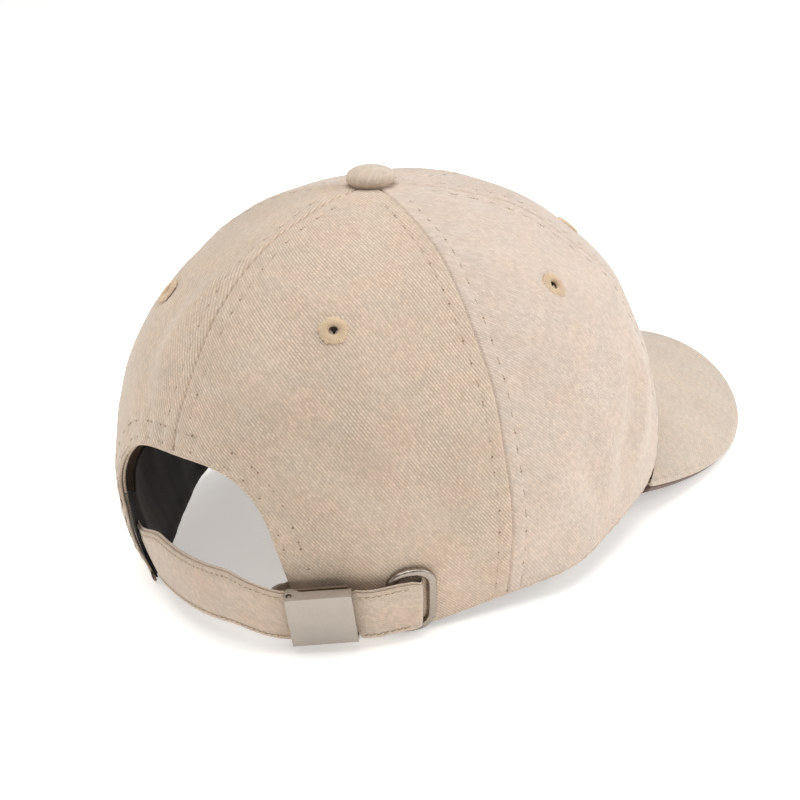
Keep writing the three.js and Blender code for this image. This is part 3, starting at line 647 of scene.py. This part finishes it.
def panel_relief(deg, z, k, run):
    """Raised seam allowances, the seam groove, stitch lines and the hem of the opening."""
    per = per_degree(deg, z)
    relief = np.zeros_like(deg)
    fade = np.clip((per * 57.3 - 4) / 14, 0, 1)
    for side in ((deg - SEAMS[k]) * per, (SEAMS[k + 1] - deg) * per):
        d = np.maximum(side, 0)
        relief += -0.55 * np.exp(-(d / 0.38) ** 2)
        relief += fade * 0.15 * smooth(d, 0.3, 1.5) * (1 - smooth(d, 3.6, 5.4))
        relief += fade * pucker(d, run, SEAM_ROW)
    low = z - rim_z(deg)
    relief += -0.18 * np.exp(-((low - 4.5) / 0.8) ** 2) * (0.8 + 0.2 * np.cos(deg * 4.1))
    if k in (0, 5):
        d, along = arch_distance(crown_point(deg, z))
        relief += 0.22 * (1 - smooth(d, 7.5, 9.5)) * smooth(d, -1, 2)
        relief += pucker(d, along, ARCH_ROWS[0], 0.9) + pucker(d, along, ARCH_ROWS[1])
        relief += 0.12 * np.sin(along * 0.62 + np.sin(along * 0.17) * 2) * np.exp(-((d - 5) / 4) ** 2)
    ring = np.linalg.norm(crown_point(deg, z) - crown_point(*EYELETS[k]), axis=-1)
    return relief - 0.28 * np.exp(-((ring - 4.9) / 1.3) ** 2)


def make_panel(k, name):
    """One panel: its cut and puckered outer face, and a plainer lining face."""
    a, b = SEAMS[k], SEAMS[k + 1]
    mid = (a + b) / 2
    width = (b - a) * per_degree(mid, 20)
    inner = np.linspace(8.4, width - 8.4, int((width - 16.8) / 1.25) + 1)
    cols = a + (b - a) * np.concatenate([SEAM_EDGE, inner, (width - SEAM_EDGE)[::-1]]) / width
    steps = np.linspace(0, 1, 128)
    deg = np.repeat(cols[:, None], len(steps), 1)
    z = np.stack([even_heights(c, float(rim_z(c)) + 1.0, APEX_TOP, steps) for c in cols])
    flat = crown_point(deg, z)
    run = np.concatenate([np.zeros((len(cols), 1)), np.cumsum(
        np.linalg.norm(np.diff(flat, axis=1), axis=2), axis=1)], 1)
    field = np.linalg.norm(flat - crown_point(*EYELETS[k]), axis=-1) - EYELET_CUT
    if k in (0, 5):
        field = np.minimum(field, arch_distance(flat)[0] - 0.9)
    dd, zz, quads, polys = cut_grid(deg, z, field)
    up = np.interp(zz, z[len(cols) // 2], run[len(cols) // 2])
    soup = Soup()
    soup.quads.append(quads)
    soup.faces(skin(dd, zz, panel_relief(dd, zz, k, up)), polys, wall_uv(dd, zz, mid))
    # lining face of the same cloth
    coarse = np.linspace(0, 1, 40)
    lines = np.linspace(a, b, 26)
    ld = np.repeat(lines[:, None], 40, 1)
    lz = np.stack([even_heights(c, float(rim_z(c)) + 1.0, APEX_TOP, coarse) for c in lines])
    gap = np.full(ld.shape, 1.0)
    if k in (0, 5):
        gap = arch_distance(crown_point(ld, lz))[0] - 0.9
    hole = np.linalg.norm(crown_point(ld, lz) - crown_point(*EYELETS[k]), axis=-1) - EYELET_CUT_LINING
    ld, lz, quads, polys = cut_grid(ld, lz, np.minimum(gap, hole))
    soup.quads.append(quads[:, ::-1] + soup.count)
    soup.faces(skin(ld, lz, -CLOTH), [r[::-1] for r in polys], wall_uv(ld, lz, mid))
    # The back panels take the darker painted-shade copy of the fabric, and the side and front panels take the
    # lighter painted-light copy.
    look = M_TWILL_SHADE if k in (0, 5) else M_TWILL_LIT
    piece("crown_panel_" + name, soup, look, ["panel_" + name])


for index, label in enumerate(PANELS):
    make_panel(index, label)


def roll(name, deg, z):
    """Cloth turned round an edge: from the outer face, round the fold, to the lining face."""
    section = [(1.5, -0.06), (1.1, 0.04), (0.75, 0.06), (0.4, 0.0), (0.12, -0.2), (0.0, -0.52),
               (0.12, -0.84), (0.45, -1.06), (0.9, -1.15), (1.6, -1.15)]
    lines, uvs = [], []
    p = skin(deg, z)
    run = running(p)
    wave = 0.07 * np.sin(run * 2 * math.pi / 5.4 + np.sin(run / 11)) + 0.05 * np.sin(run / 3.1)
    for i, (inset, out) in enumerate(section):
        d, h = offset(deg, z, inset)
        lines.append(skin(d, h, out + wave * (0.3 < i < 7)))
        uvs.append(pairs(run, i * 0.45) / 1000)
    soup = Soup()
    soup.grid(np.stack(lines), np.stack(uvs), flip=True)
    piece(name, soup, M_TWILL_SHADE)


arch_deg, arch_z = even_path(*arch_line(900), 0.5)
roll("arch_hem", arch_deg, arch_z)
rim_deg = np.linspace(27.2, 332.8, 900)
roll("rim_hem", rim_deg, rim_z(rim_deg))

# ---- stitches ----


def stitches(soup, holes, deg, z, pitch=2.4, length=1.9, radius=0.13, rise=0.0, slant=0.22, place=skin):
    """One row of sewing thread along a path, with a needle hole between the stitches."""
    p = place(deg, z)
    run = running(p)
    n = int(run[-1] / pitch)
    start = (np.arange(n) + 0.5) * run[-1] / n + rng.uniform(-0.12, 0.12, n)
    tau = np.linspace(0, 1, 6)
    s = start[:, None] + (tau[None] - 0.5) * length
    at = at_run(s, run, p)
    tangent = unit(np.gradient(at, axis=1))
    normal = unit(at_run(s, run, crown_normal(deg, z)))
    side = unit(np.cross(normal, tangent))
    lift = (np.sin(np.pi * np.clip(tau, 0.02, 0.98)) ** 0.7 - 0.6) * 0.13 + rise
    lean = (tau - 0.5) * slant
    centre = at + normal * lift[None, :, None] + side * lean[None, :, None]
    fat = radius * np.array([0.35, 0.85, 1, 1, 0.85, 0.35])
    turn = np.linspace(0, 2 * math.pi, 8)
    ring = np.cos(turn)[:, None] * normal[:, :, None, :] + np.sin(turn)[:, None] * side[:, :, None, :]
    body = centre[:, :, None, :] + ring * fat[None, :, None, None]
    uv = pairs(tau[:, None], turn[None] / 6.283)
    for i in range(n):
        soup.grid(body[i], uv)
    # Each needle hole is a small cone that takes a darker colour: painted shade in the hole.
    gap = start - run[-1] / n / 2
    gap = gap[gap > 0.2]
    spot = at_run(gap, run, p)
    nn = unit(at_run(gap, run, crown_normal(deg, z)))
    tt = unit(at_run(gap + 0.3, run, p) - spot)
    ss = np.cross(nn, tt)
    rim = np.linspace(0, 2 * math.pi, 9)
    sizes = rng.uniform(0.8, 1.2, len(gap))
    for i in range(len(gap)):
        oval = np.cos(rim)[:, None] * tt[i] * 0.30 + np.sin(rim)[:, None] * ss[i] * 0.32
        edge = spot[i] + nn[i] * (rise + 0.05) + oval * sizes[i]
        middle = np.repeat((spot[i] + nn[i] * (rise - 0.02))[None], len(rim), 0)
        holes.grid(np.stack([edge, middle]), flip=True)


sewn, pricked = Soup(), Soup()
for index, seam in enumerate(SEAMS[:6]):
    zs_low = float(rim_z(seam)) + 1.5 if index else ARCH_TOP + 9.5
    for side in (-1, 1):
        zz = even_heights(seam, zs_low, TOP_Z - 1.6, 260)
        dd = seam + side * SEAM_ROW / np.maximum(per_degree(seam, zz), 0.25)
        keep = np.hypot(*(crown_point(dd, zz) - [0, APEX_SHIFT, 0])[:, :2].T) > BUTTON_RADIUS + 0.6
        stitches(sewn, pricked, dd[keep], zz[keep], rise=-0.11)
for dist in ARCH_ROWS:
    dd, zz = offset(arch_deg, arch_z, dist)
    keep = zz > 2.5
    stitches(sewn, pricked, dd[keep], zz[keep], rise=0.06)
piece("crown_topstitching", sewn, M_THREAD)
# The crown's needle holes carry the darker painted-shade colour.
piece("needle_holes", pricked, M_HOLE_SHADE)

# ---- embroidered eyelets ----


def ring_of(centre, n, turn, r, h):
    """Points round an axis at radii and heights along it."""
    u = unit(np.cross([0, 0, 1.0], n))
    w = np.cross(n, u)
    return (centre + n * h[..., None] + u * (np.cos(turn)[:, None] * r)[..., None]
            + w * (np.sin(turn)[:, None] * r)[..., None])


for index, label in enumerate(PANELS):
    at_deg, at_z = EYELETS[index]
    centre = skin(np.array([at_deg]), np.array([at_z]))[0]
    n = crown_normal(at_deg, at_z)
    profile = np.array([(1.45, -0.5), (1.55, 0.05), (1.8, 0.38), (2.15, 0.56), (2.6, 0.64), (3.1, 0.6),
                        (3.55, 0.46), (3.95, 0.28), (4.25, 0.06), (4.4, -0.3)])
    th = np.linspace(0, 2 * math.pi, 289)
    strands = np.abs(np.cos(th * 20 + 0.5 * np.sin(th * 3 + index))) ** 0.6
    uneven = 0.03 * np.sin(th * 5 + index * 2) + 0.028 * np.sin(th * 11 + index) + 0.025 * np.sin(th * 17)
    h = profile[:, 1][None] + (strands[:, None] - 0.6) * 0.26 * smooth(profile[:, 1], -0.4, 0.5)[None]
    r = profile[:, 0][None] * (1 + uneven[:, None] * smooth(profile[:, 0], 2, 4.3)[None])
    r = r + (strands[:, None] - 0.5) * 0.34 * smooth(profile[:, 0], 3.2, 4.3)[None]
    soup = Soup()
    soup.grid(ring_of(centre, n, th, r, h), pairs(th[:, None] * 20 / math.pi * 0.5, r * 0.4))
    piece("eyelet_" + label + "_thread", soup, M_EYELET, ["eyelet_" + label])
    # A tube down into the hole, in the dark painted-shade thread colour.
    r, h = np.array([(1.38, -4.2), (1.42, -2.4), (1.45, -1.0), (1.46, -0.48)]).T
    wall = Soup()
    wall.grid(ring_of(centre, n, th, r[None], h + 0 * th[:, None]), pairs(th[:, None] * 3.2, h * 0.4))
    piece("eyelet_" + label + "_wall", wall, M_EYELET_WALL_SHADE)

# ---- inside: seam tapes, facing of the opening, sweatband ----


def band(soup, deg, z, outer, inner, mid=0.0):
    """A strip with both faces, joined along its long edges; deg and z are grids across by along."""
    face = skin(deg, z, outer)
    back = skin(deg, z, inner)
    uv = wall_uv(deg, z, mid)
    soup.grid(np.concatenate([face, back[::-1], face[:1]]), np.concatenate([uv, uv[::-1], uv[:1]]))


TAPE_TOP = height_at(TAPE_RADIUS)
for index, label in enumerate(["back", "back_right", "front_right", "front", "front_left", "back_left"]):
    seam = SEAMS[index]
    low = ARCH_TOP + 14 if index == 0 else float(rim_z(seam)) + 3
    zz = even_heights(seam, low, TAPE_TOP, 110)
    across = np.array([-1, -0.94, -0.8, -0.6, -0.3, 0, 0.3, 0.6, 0.8, 0.94, 1])
    dd = seam + across[:, None] * TAPE_HALF / per_degree(seam, zz)[None]
    zz = np.repeat(zz[None], len(across), 0)
    sag = -0.35 * (1 - across ** 4)[:, None] + 0.08 * np.sin(zz * 0.9)
    soup = Soup()
    band(soup, dd, zz, np.full(dd.shape, -1.75), -2.15 + sag, seam)
    piece("inside_tape_" + label, soup, M_TAPE, ["seam_tape_" + label])

fd, fz = even_path(*arch_line(900), 1.2)
rows = [offset(fd, fz, d) for d in (0.6, 1.2, 3, 5, 7.5, 10, 11.4, 12)]
dd, zz = np.stack([r[0] for r in rows]), np.maximum(np.stack([r[1] for r in rows]), 2.2)
soup = Soup()
band(soup, dd, zz, np.full(dd.shape, -1.4), np.full(dd.shape, -2.2))
piece("arch_facing_cloth", soup, M_TWILL_SHADE, ["arch_facing"])

sd = np.linspace(27.6, 333.6, 520)
levels = np.array([0, 0.4, 1.2, 2.4, 4, 8, 14, 20, 25, 28, 29.6, 30.4, 30.8])
foot = rim_z(sd) - 1 + 3.0 * smooth(sd, 327, 332)
zz = foot[None] + levels[:, None]
dd = np.repeat(sd[None], len(levels), 0)
ripple = 0.2 * np.sin(dd * 0.4 + zz * 0.08) + 0.05 * np.sin(dd * 1.3 + 1)
bulge = -0.5 * np.sin(np.pi * levels / SWEAT_HEIGHT)[:, None] + ripple
seat = -0.4 * np.exp(-((levels - 4) / 0.9) ** 2)[:, None]
soup = Soup()
tuck = smooth(dd, 326, 332)
outer = mix(-SWEAT_DEPTH + bulge * 0.3, -1.45, tuck)
inner = mix(-SWEAT_DEPTH - SWEAT_THICK + bulge - seat, -2.1, tuck)
band(soup, dd, zz, outer, inner, 180)
piece("sweatband_cloth", soup, M_SWEAT, ["sweatband"])

# ---- visor ----


def visor_point(a, s, inset, depth):
    """A point from corner to corner (a) and from crown to edge (s), in from the edge and down."""
    a, s, inset, depth = floats(a, s, inset, depth)
    deg = mix(VISOR_START + VISOR_TRIM, 360 - VISOR_TRIM - VISOR_START, a)
    root = crown_at(deg, rim_z(deg) + 2, 0.3)
    corner = crown_at(VISOR_START, rim_z(VISOR_START) + 2, 0.3)
    th = np.radians((90 - VISOR_TRIM) * (2 * a - 1))
    x = (abs(corner[0]) - inset) * np.sin(th) * (1 + VISOR_FLARE * np.cos(th) ** 2)
    y = corner[1] - (VISOR_LENGTH + HALF_LENGTH + corner[1] - inset) * np.cos(th) ** VISOR_ROUND
    px, py = mix(root[..., 0], x, s), mix(root[..., 1], y, s)
    n = unit(np.stack([2 * VISOR_ARCH * px, np.full_like(px, -VISOR_PITCH), np.ones_like(px)], -1))
    return np.stack([px, py, visor_top(px, py)], -1) - n * depth[..., None]


va = 0.5 - 0.5 * np.cos(np.linspace(0, math.pi, 241))
va = mix(np.linspace(0, 1, 241), va, 0.5)
vs = np.linspace(0, 1, 52)


def closed_ends(p):
    """Draws the first and last section together at their middles, so that the sheet's ends are shut."""
    first = np.repeat(p[:1].mean(1, keepdims=True), p.shape[1], 1)
    last = np.repeat(p[-1:].mean(1, keepdims=True), p.shape[1], 1)
    return np.concatenate([first, p, last])


def visor_face(soup, sections, lower, waviness):
    """A cover from the crown to its edge, then round the edge by (inset, depth) steps."""
    def fall(at):
        """The lower cover hangs down toward the two corners, so that its painted-shade colour shows there
        below the upper cover.
        """
        return 1 + VISOR_HANG / VISOR_DEEP * (1 - smooth(np.minimum(at, 1 - at), 0, 0.12)) * lower

    inset, depth = sections[0]
    a, s = np.meshgrid(va, vs, indexing="ij")
    ripple = waviness * (0.5 * np.sin(a * 41 + s * 3) + 0.5 * np.sin(a * 23 + s * 11)) * s * (1 - s) * 2
    hump = 0.16 * np.exp(-((s - 0.965) / 0.018) ** 2)
    main = visor_point(a, s, inset, depth * fall(a) - ripple - hump * (-1 if lower else 1))
    edge = [visor_point(va, 1.0, i, VISOR_MIDDLE + (d - VISOR_MIDDLE) * fall(va)) for i, d in sections[1:]]
    p = closed_ends(np.concatenate([main, np.stack(edge, 1)], 1))
    soup.grid(p, p[..., :2] / 1000, flip=lower)


soup = Soup()
visor_face(soup, [(1.3, 0), (0.85, 0.03), (0.45, 0.16), (0.15, 0.42), (0.0, 0.8), (0.02, 1.25),
                  (0.2, 1.62), (0.6, 1.85), (1.2, 1.9)], False, 0.12)
piece("visor_top_cloth", soup, M_VISOR, ["visor_cover_top"])
soup = Soup()
visor_face(soup, [(1.3, VISOR_DEEP), (0.85, 4.07), (0.45, 3.92), (0.15, 3.68), (0.0, 3.3), (0.02, 2.85),
                  (0.2, 2.45), (0.6, 2.22), (1.2, VISOR_MIDDLE)], True, 0.08)
# The lower cover takes the darkened fabric: painted shade.
piece("visor_bottom_cloth", soup, M_UNDER_SHADE, ["visor_cover_bottom"])
soup = Soup()
section = [(2.3, 1.75), (0.75, 1.75), (0.5, 1.9), (0.45, 2.05), (0.5, 2.2), (0.75, 2.35), (2.3, 2.35)]
edge = closed_ends(np.stack([visor_point(va, 1.0, i, d) for i, d in section], 1))
soup.grid(edge, edge[..., :2] / 1000)
piece("visor_edge_seam", soup, M_TWILL_SHADE, ["visor_edge_welt"])

# ---- top button ----
apex = np.array([0, APEX_SHIFT, TOP_Z])
ang = np.linspace(0, 2 * math.pi, 145)
turns = ang[:, None]
t = np.linspace(0, 1, 30) * math.pi / 2
r = BUTTON_RADIUS * np.sin(t) ** 0.8
h = 2.1 + 4.0 * np.cos(t) ** 0.85
h[-1] = 2.1
tail = np.array([(7.9, 1.75), (7.5, 1.2), (6.9, 0.7), (6.3, 0.1), (6.0, -0.5)])
r, h = np.concatenate([r, tail[:, 0]]), np.concatenate([h, tail[:, 1]])
share = (r / BUTTON_RADIUS)[None]
gather = 0.16 * (np.abs(np.sin(turns * 8 + 0.6 * np.sin(turns * 3))) - 0.6) * smooth(r, 5.2, 8)[None]
lump = 0.22 * np.sin(turns * 2 + 0.8) * share ** 2 + 0.1 * np.sin(turns * 3)
rr = r[None] + gather + lump * 0.4
hh = h[None] + 0.12 * np.sin(turns * 2 + 2) * share
bx, by = rr * np.cos(turns), rr * np.sin(turns)
soup = Soup()
soup.grid(apex + np.stack([bx, by, hh], -1), np.stack([bx, by - (BUTTON_RISE - hh)], -1) / 1000)
piece("button_cloth", soup, M_BUTTON, ["button_cover"])

# ---- strap ----


def local_frame(deg, z):
    """A spot on the crown with its directions along, up and out."""
    up = unit(crown_point(deg, z + 8) - crown_point(deg, z - 8))
    along = crown_point(deg + 4, z) - crown_point(deg - 4, z)
    u = unit(along - up * (along @ up))
    return crown_point(deg, z), u, up, unit(np.cross(u, up))


BUCKLE = local_frame(BUCKLE_DEG, BUCKLE_Z)
RING = local_frame(RING_DEG, RING_Z)


def out_to_level(spot, deg, z, level):
    """How far out from the crown a flat level over a spot lies."""
    p = crown_point(deg, z) - spot[0]
    return (level - p @ spot[3]) / (crown_normal(deg, z) @ spot[3])


def strap_out(deg, z):
    """How far out the strap lies, from inside the left panel over the buckle and the ring's bar."""
    inside = -CLOTH - STRAP_INSIDE - STRAP_THICK
    level = out_to_level(BUCKLE, deg, z, STRAP_LEVEL)
    over = out_to_level(RING, deg, z, RING_RISE + 0.45)
    upright = 0.2 * (z - strap_z(deg)) * (1 - smooth(deg, 15, 27)) * smooth(deg, -27, -10)
    across = mix(inside, 2.4, smooth(deg, -16, 22)) - upright
    out = np.where(deg < BUCKLE_DEG, mix(across, level, smooth(deg, 14, 27)),
                   mix(level, over, smooth(deg, 41, 46)))
    return np.where(deg >= 49, mix(over, inside, smooth(deg, 52.7, 55.1)), out)


def strap_half(deg):
    """Half the strap's width, gathered where the buckle grips it."""
    off = np.abs(deg - BUCKLE_DEG)
    grip = np.where(deg < BUCKLE_DEG, smooth(off, 5.3, 6.6), smooth(off, 6.0, 7.4))
    full = STRAP_FULL + 0.9 * np.exp(-((deg - 22) / 4) ** 2) - 1.4 * smooth(deg, 51, 54)
    return mix(STRAP_GRIP, full, grip)


def strap_z(deg):
    """Height of the strap's middle: bowed up across the opening, level through the buckle."""
    bow = STRAP_RISE * smooth(deg, -26, -10) * (1 - smooth(deg, 15, 30))
    through = BUCKLE_Z - 0.15 + 0.12 * (deg - BUCKLE_DEG)
    past = smooth(BUCKLE_DEG - deg, 5.3, 6.8) + smooth(deg - BUCKLE_DEG, 5.2, 7.6)
    tucked = mix(through, STRAP_Z - 0.2, past)
    return tucked + bow + 0.45 * smooth(deg, 45, 49)


def strap_point(deg, w, out):
    """w is the distance up from the middle of the strap, out from its inner face."""
    z = strap_z(deg) + w * 0.956
    return crown_at(deg, z, strap_out(deg, z) + out)


stops = np.concatenate([np.linspace(-41, 27, 190), np.linspace(27.3, 54, 120), np.linspace(54.5, 61, 12)])
per = per_degree(stops, 12)
strap_run = np.concatenate([[0], np.cumsum((per[1:] + per[:-1]) / 2 * np.diff(stops))])


def strap_layer(soup, section):
    """A closed cross-section of (w as a share of half width, w in mm, out) swept along the strap."""
    lines, uvs = [], []
    reach = 0
    last = None
    for share, extra, out in section:
        w = share * strap_half(stops) + extra
        row = strap_point(stops, w, np.full_like(stops, out))
        if last is not None:
            reach += float(np.linalg.norm(row[80] - last[80]))
        last = row
        lines.append(row)
        uvs.append(pairs(strap_run, reach) / 1000)
    soup.grid(np.stack(lines), np.stack(uvs))


face = []
for share in np.linspace(-1, 1, 25):
    d = (1 - abs(share)) * STRAP_HALF
    puff = STRAP_THICK - 0.13 * np.exp(-((d - STRAP_ROW) / 0.5) ** 2)
    puff += 0.12 * smooth(d, 2.0, 4.6)
    face.append((share * (1 - 0.35 / STRAP_HALF), 0.0, puff))
front = [(-1, 0.55, 0.62), (-1, 0.12, 0.72), (-1, 0.0, 0.98), (-1, 0.12, 1.28)] + face[1:-1] \
    + [(1, -0.12, 1.28), (1, 0.0, 0.98), (1, -0.12, 0.72), (1, -0.55, 0.62)]
back = [(1, -0.7, 0.6), (1, 0.6, 0.56), (1, 0.85, 0.34), (1, 0.65, 0.06), (1, -0.4, 0.0),
        (0, 0, -0.05), (-1, 0.4, 0.0), (-1, -0.1, 0.08), (-1, -0.2, 0.3), (-1, -0.08, 0.54), (-1, 0.7, 0.6)]
soup = Soup()
strap_layer(soup, front)
strap_layer(soup, back)
piece("strap_cloth", soup, M_STRAP, ["strap"])

sewn, pricked = Soup(), Soup()
for lo, hi in ((-24, 27.2), (41.6, 51.0)):
    ds = np.linspace(lo, hi, 260)
    for side in (-1, 1):
        w = side * (strap_half(ds) - STRAP_ROW)
        stitches(sewn, pricked, ds, strap_z(ds) + w, 1.9, 1.7, 0.19, 0.06, 0.7,
                 place=lambda d, _: strap_point(d, side * (strap_half(d) - STRAP_ROW), np.full_like(d, 1.30)))
piece("strap_stitching", sewn, M_STRAP_THREAD)
# The strap's needle holes carry the darker painted-shade colour.
piece("strap_needle_holes", pricked, M_STRAP_HOLE_SHADE)

# ---- cloth tab that holds the buckle, doubled round its base ----
TAB_FACE = 0.24  # from the middle of the tab's cloth to its faces
TAB_PATH = np.array([[-1, -3.1], [-6, -3.1], [-11.5, -2.9], [-13.6, -1.6], [-14.1, 0.3], [-14.0, 1.35],
                     [-13.3, 2.08], [-11.4, 2.1], [-10.62, 2.06], [-10.38, 1.2], [-9.4, 0.62], [-2, 0.62]])
spot, bu, bw, bn = BUCKLE
ks = np.linspace(0, len(TAB_PATH) - 1, 90)
pu, pn = [np.interp(ks, np.arange(len(TAB_PATH)), TAB_PATH[:, i]) for i in (0, 1)]
for _ in range(3):
    pu[1:-1], pn[1:-1] = (pu[:-2] + pu[2:] + 2 * pu[1:-1]) / 4, (pn[:-2] + pn[2:] + 2 * pn[1:-1]) / 4
degs = np.linspace(BUCKLE_DEG - 12, BUCKLE_DEG + 6, 80)
wall = crown_point(degs, BUCKLE_Z) - spot
bend = np.where(pu > -10, np.minimum(np.interp(pu, wall @ bu, wall @ bn), 0), 0)
du, dn = -np.gradient(pn), np.gradient(pu)
size = np.hypot(du, dn)
du, dn = du / size * TAB_FACE, dn / size * TAB_FACE
ws = np.array([-TAB_HALF, -7.3, -7, -5, 0, 5, 7, 7.3, TAB_HALF])
thin = np.array([0.2, 0.7, 1, 1, 1, 1, 1, 0.7, 0.2])
soup = Soup()
for sgn in (-1, 1):
    p = (spot + bu * (pu + du * sgn * thin[:, None])[..., None]
         + bn * (pn + bend + dn * sgn * thin[:, None])[..., None] + bw * ws[:, None, None])
    uv = pairs(ks[None] * 0.5, ws[:, None]) / 1000
    soup.grid(p, uv, flip=sgn > 0)
piece("buckle_tab_cloth", soup, M_STRAP, ["buckle_tab"])

# ---- metal and hidden pieces carried over from the CAD model ----
# The parts under the cover, behind the ring and inside the button take the darker painted-shade nickel.
LOOKS = {"buckle_cover": M_METAL, "buckle_base": M_METAL_SHADE, "buckle_pin": M_METAL_SHADE, "ring_front": M_RING,
         "ring_back": M_METAL_SHADE, "button_shell": M_METAL_SHADE, "button_washer": M_METAL_SHADE, "visor_board": M_BOARD}
for name, look in LOOKS.items():
    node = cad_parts[name]
    node.data.materials.clear()
    node.data.materials.append(look)
    weld = node.modifiers.new("weld", "WELD")
    weld.merge_threshold = 2e-6
    if name.startswith("buckle"):
        bevel = node.modifiers.new("bevel", "BEVEL")
        bevel.width = 0.00022
        bevel.segments = 3
        bevel.limit_method = "ANGLE"
        bevel.angle_limit = math.radians(35)
    elif name.startswith(("ring", "button")):
        sub = node.modifiers.new("round", "SUBSURF")
        sub.levels = sub.render_levels = 2 if name == "ring_front" else 1
        node.data.shade_smooth()

# ---- studio: floor, light, camera ----
g = Graph("studio_floor")
spot_at = g.node("TexCoord").outputs["Object"]
tint = g.span(g.noise(spot_at, 30.0, 4.0), 0.3, 0.7, 0.985, 1.0)
shade = g.node("CombineColor", {0: tint, 1: tint, 2: tint}).outputs[0]
FLOOR = g.surface(g.colour(1.0, srgb(250, 249, 247), shade, "MULTIPLY"), Roughness=0.9,
                  **{"Emission Color": (1, 0.995, 0.985, 1), "Emission Strength": 0.42})
mesh = bpy.data.meshes.new("studio_floor")
mesh.from_pydata([(-6, -6, 0), (6, -6, 0), (6, 6, 0), (-6, 6, 0)], [], [(0, 1, 2, 3)])
mesh.materials.append(FLOOR)
floor = bpy.data.objects.new("studio_floor", mesh)
bpy.context.scene.collection.objects.link(floor)
floor.location.z = -0.0002

world = bpy.data.worlds.new("studio")
world.use_nodes = True
world.node_tree.nodes["Background"].inputs[0].default_value = (1.0, 0.985, 0.96, 1)
world.node_tree.nodes["Background"].inputs[1].default_value = 0.28
bpy.context.scene.world = world


def softbox(name, at, aim, width, height, power):
    """A soft rectangular light turned toward a point."""
    light = bpy.data.lights.new(name, "AREA")
    light.shape = "RECTANGLE"
    light.size, light.size_y, light.energy = width, height, power
    light.color = (0.98, 0.99, 1.0)
    obj = bpy.data.objects.new(name, light)
    bpy.context.scene.collection.objects.link(obj)
    obj.location = at
    obj.rotation_euler = (Vector(aim) - Vector(at)).to_track_quat("-Z", "Y").to_euler()


softbox("soft_top", (0.0, 0.08, 1.28), (0, 0, 0.05), 1.3, 1.3, 15.5)
softbox("soft_right", (-1.0, -0.7, 0.7), (0, 0, 0.05), 0.9, 0.8, 7.5)
softbox("soft_left", (1.0, 0.9, 0.6), (0, 0, 0.05), 0.9, 0.8, 2.8)

VIEW_FROM, VIEW_AT = (-0.6281, 0.6912, 0.3574), (0, 0, 0.0615)
VIEW_DISTANCE, VIEW_ROLL = 0.599, -2.7  # metres, degrees
camera = bpy.data.cameras.new("camera")
camera.lens, camera.sensor_width = 79.83, 36
camera.shift_x, camera.shift_y = 0.0187, -0.063
camera.clip_start, camera.clip_end = 0.01, 50
eye = bpy.data.objects.new("camera", camera)
bpy.context.scene.collection.objects.link(eye)
back = Vector(VIEW_FROM).normalized()
eye.location = Vector(VIEW_AT) + back * VIEW_DISTANCE
eye.rotation_mode = "QUATERNION"
turn = Matrix.Rotation(math.radians(VIEW_ROLL), 4, "Z").to_quaternion()
eye.rotation_quaternion = (-back).to_track_quat("-Z", "Y") @ turn
bpy.context.scene.camera = eye
bpy.context.scene.view_settings.view_transform = "Standard"
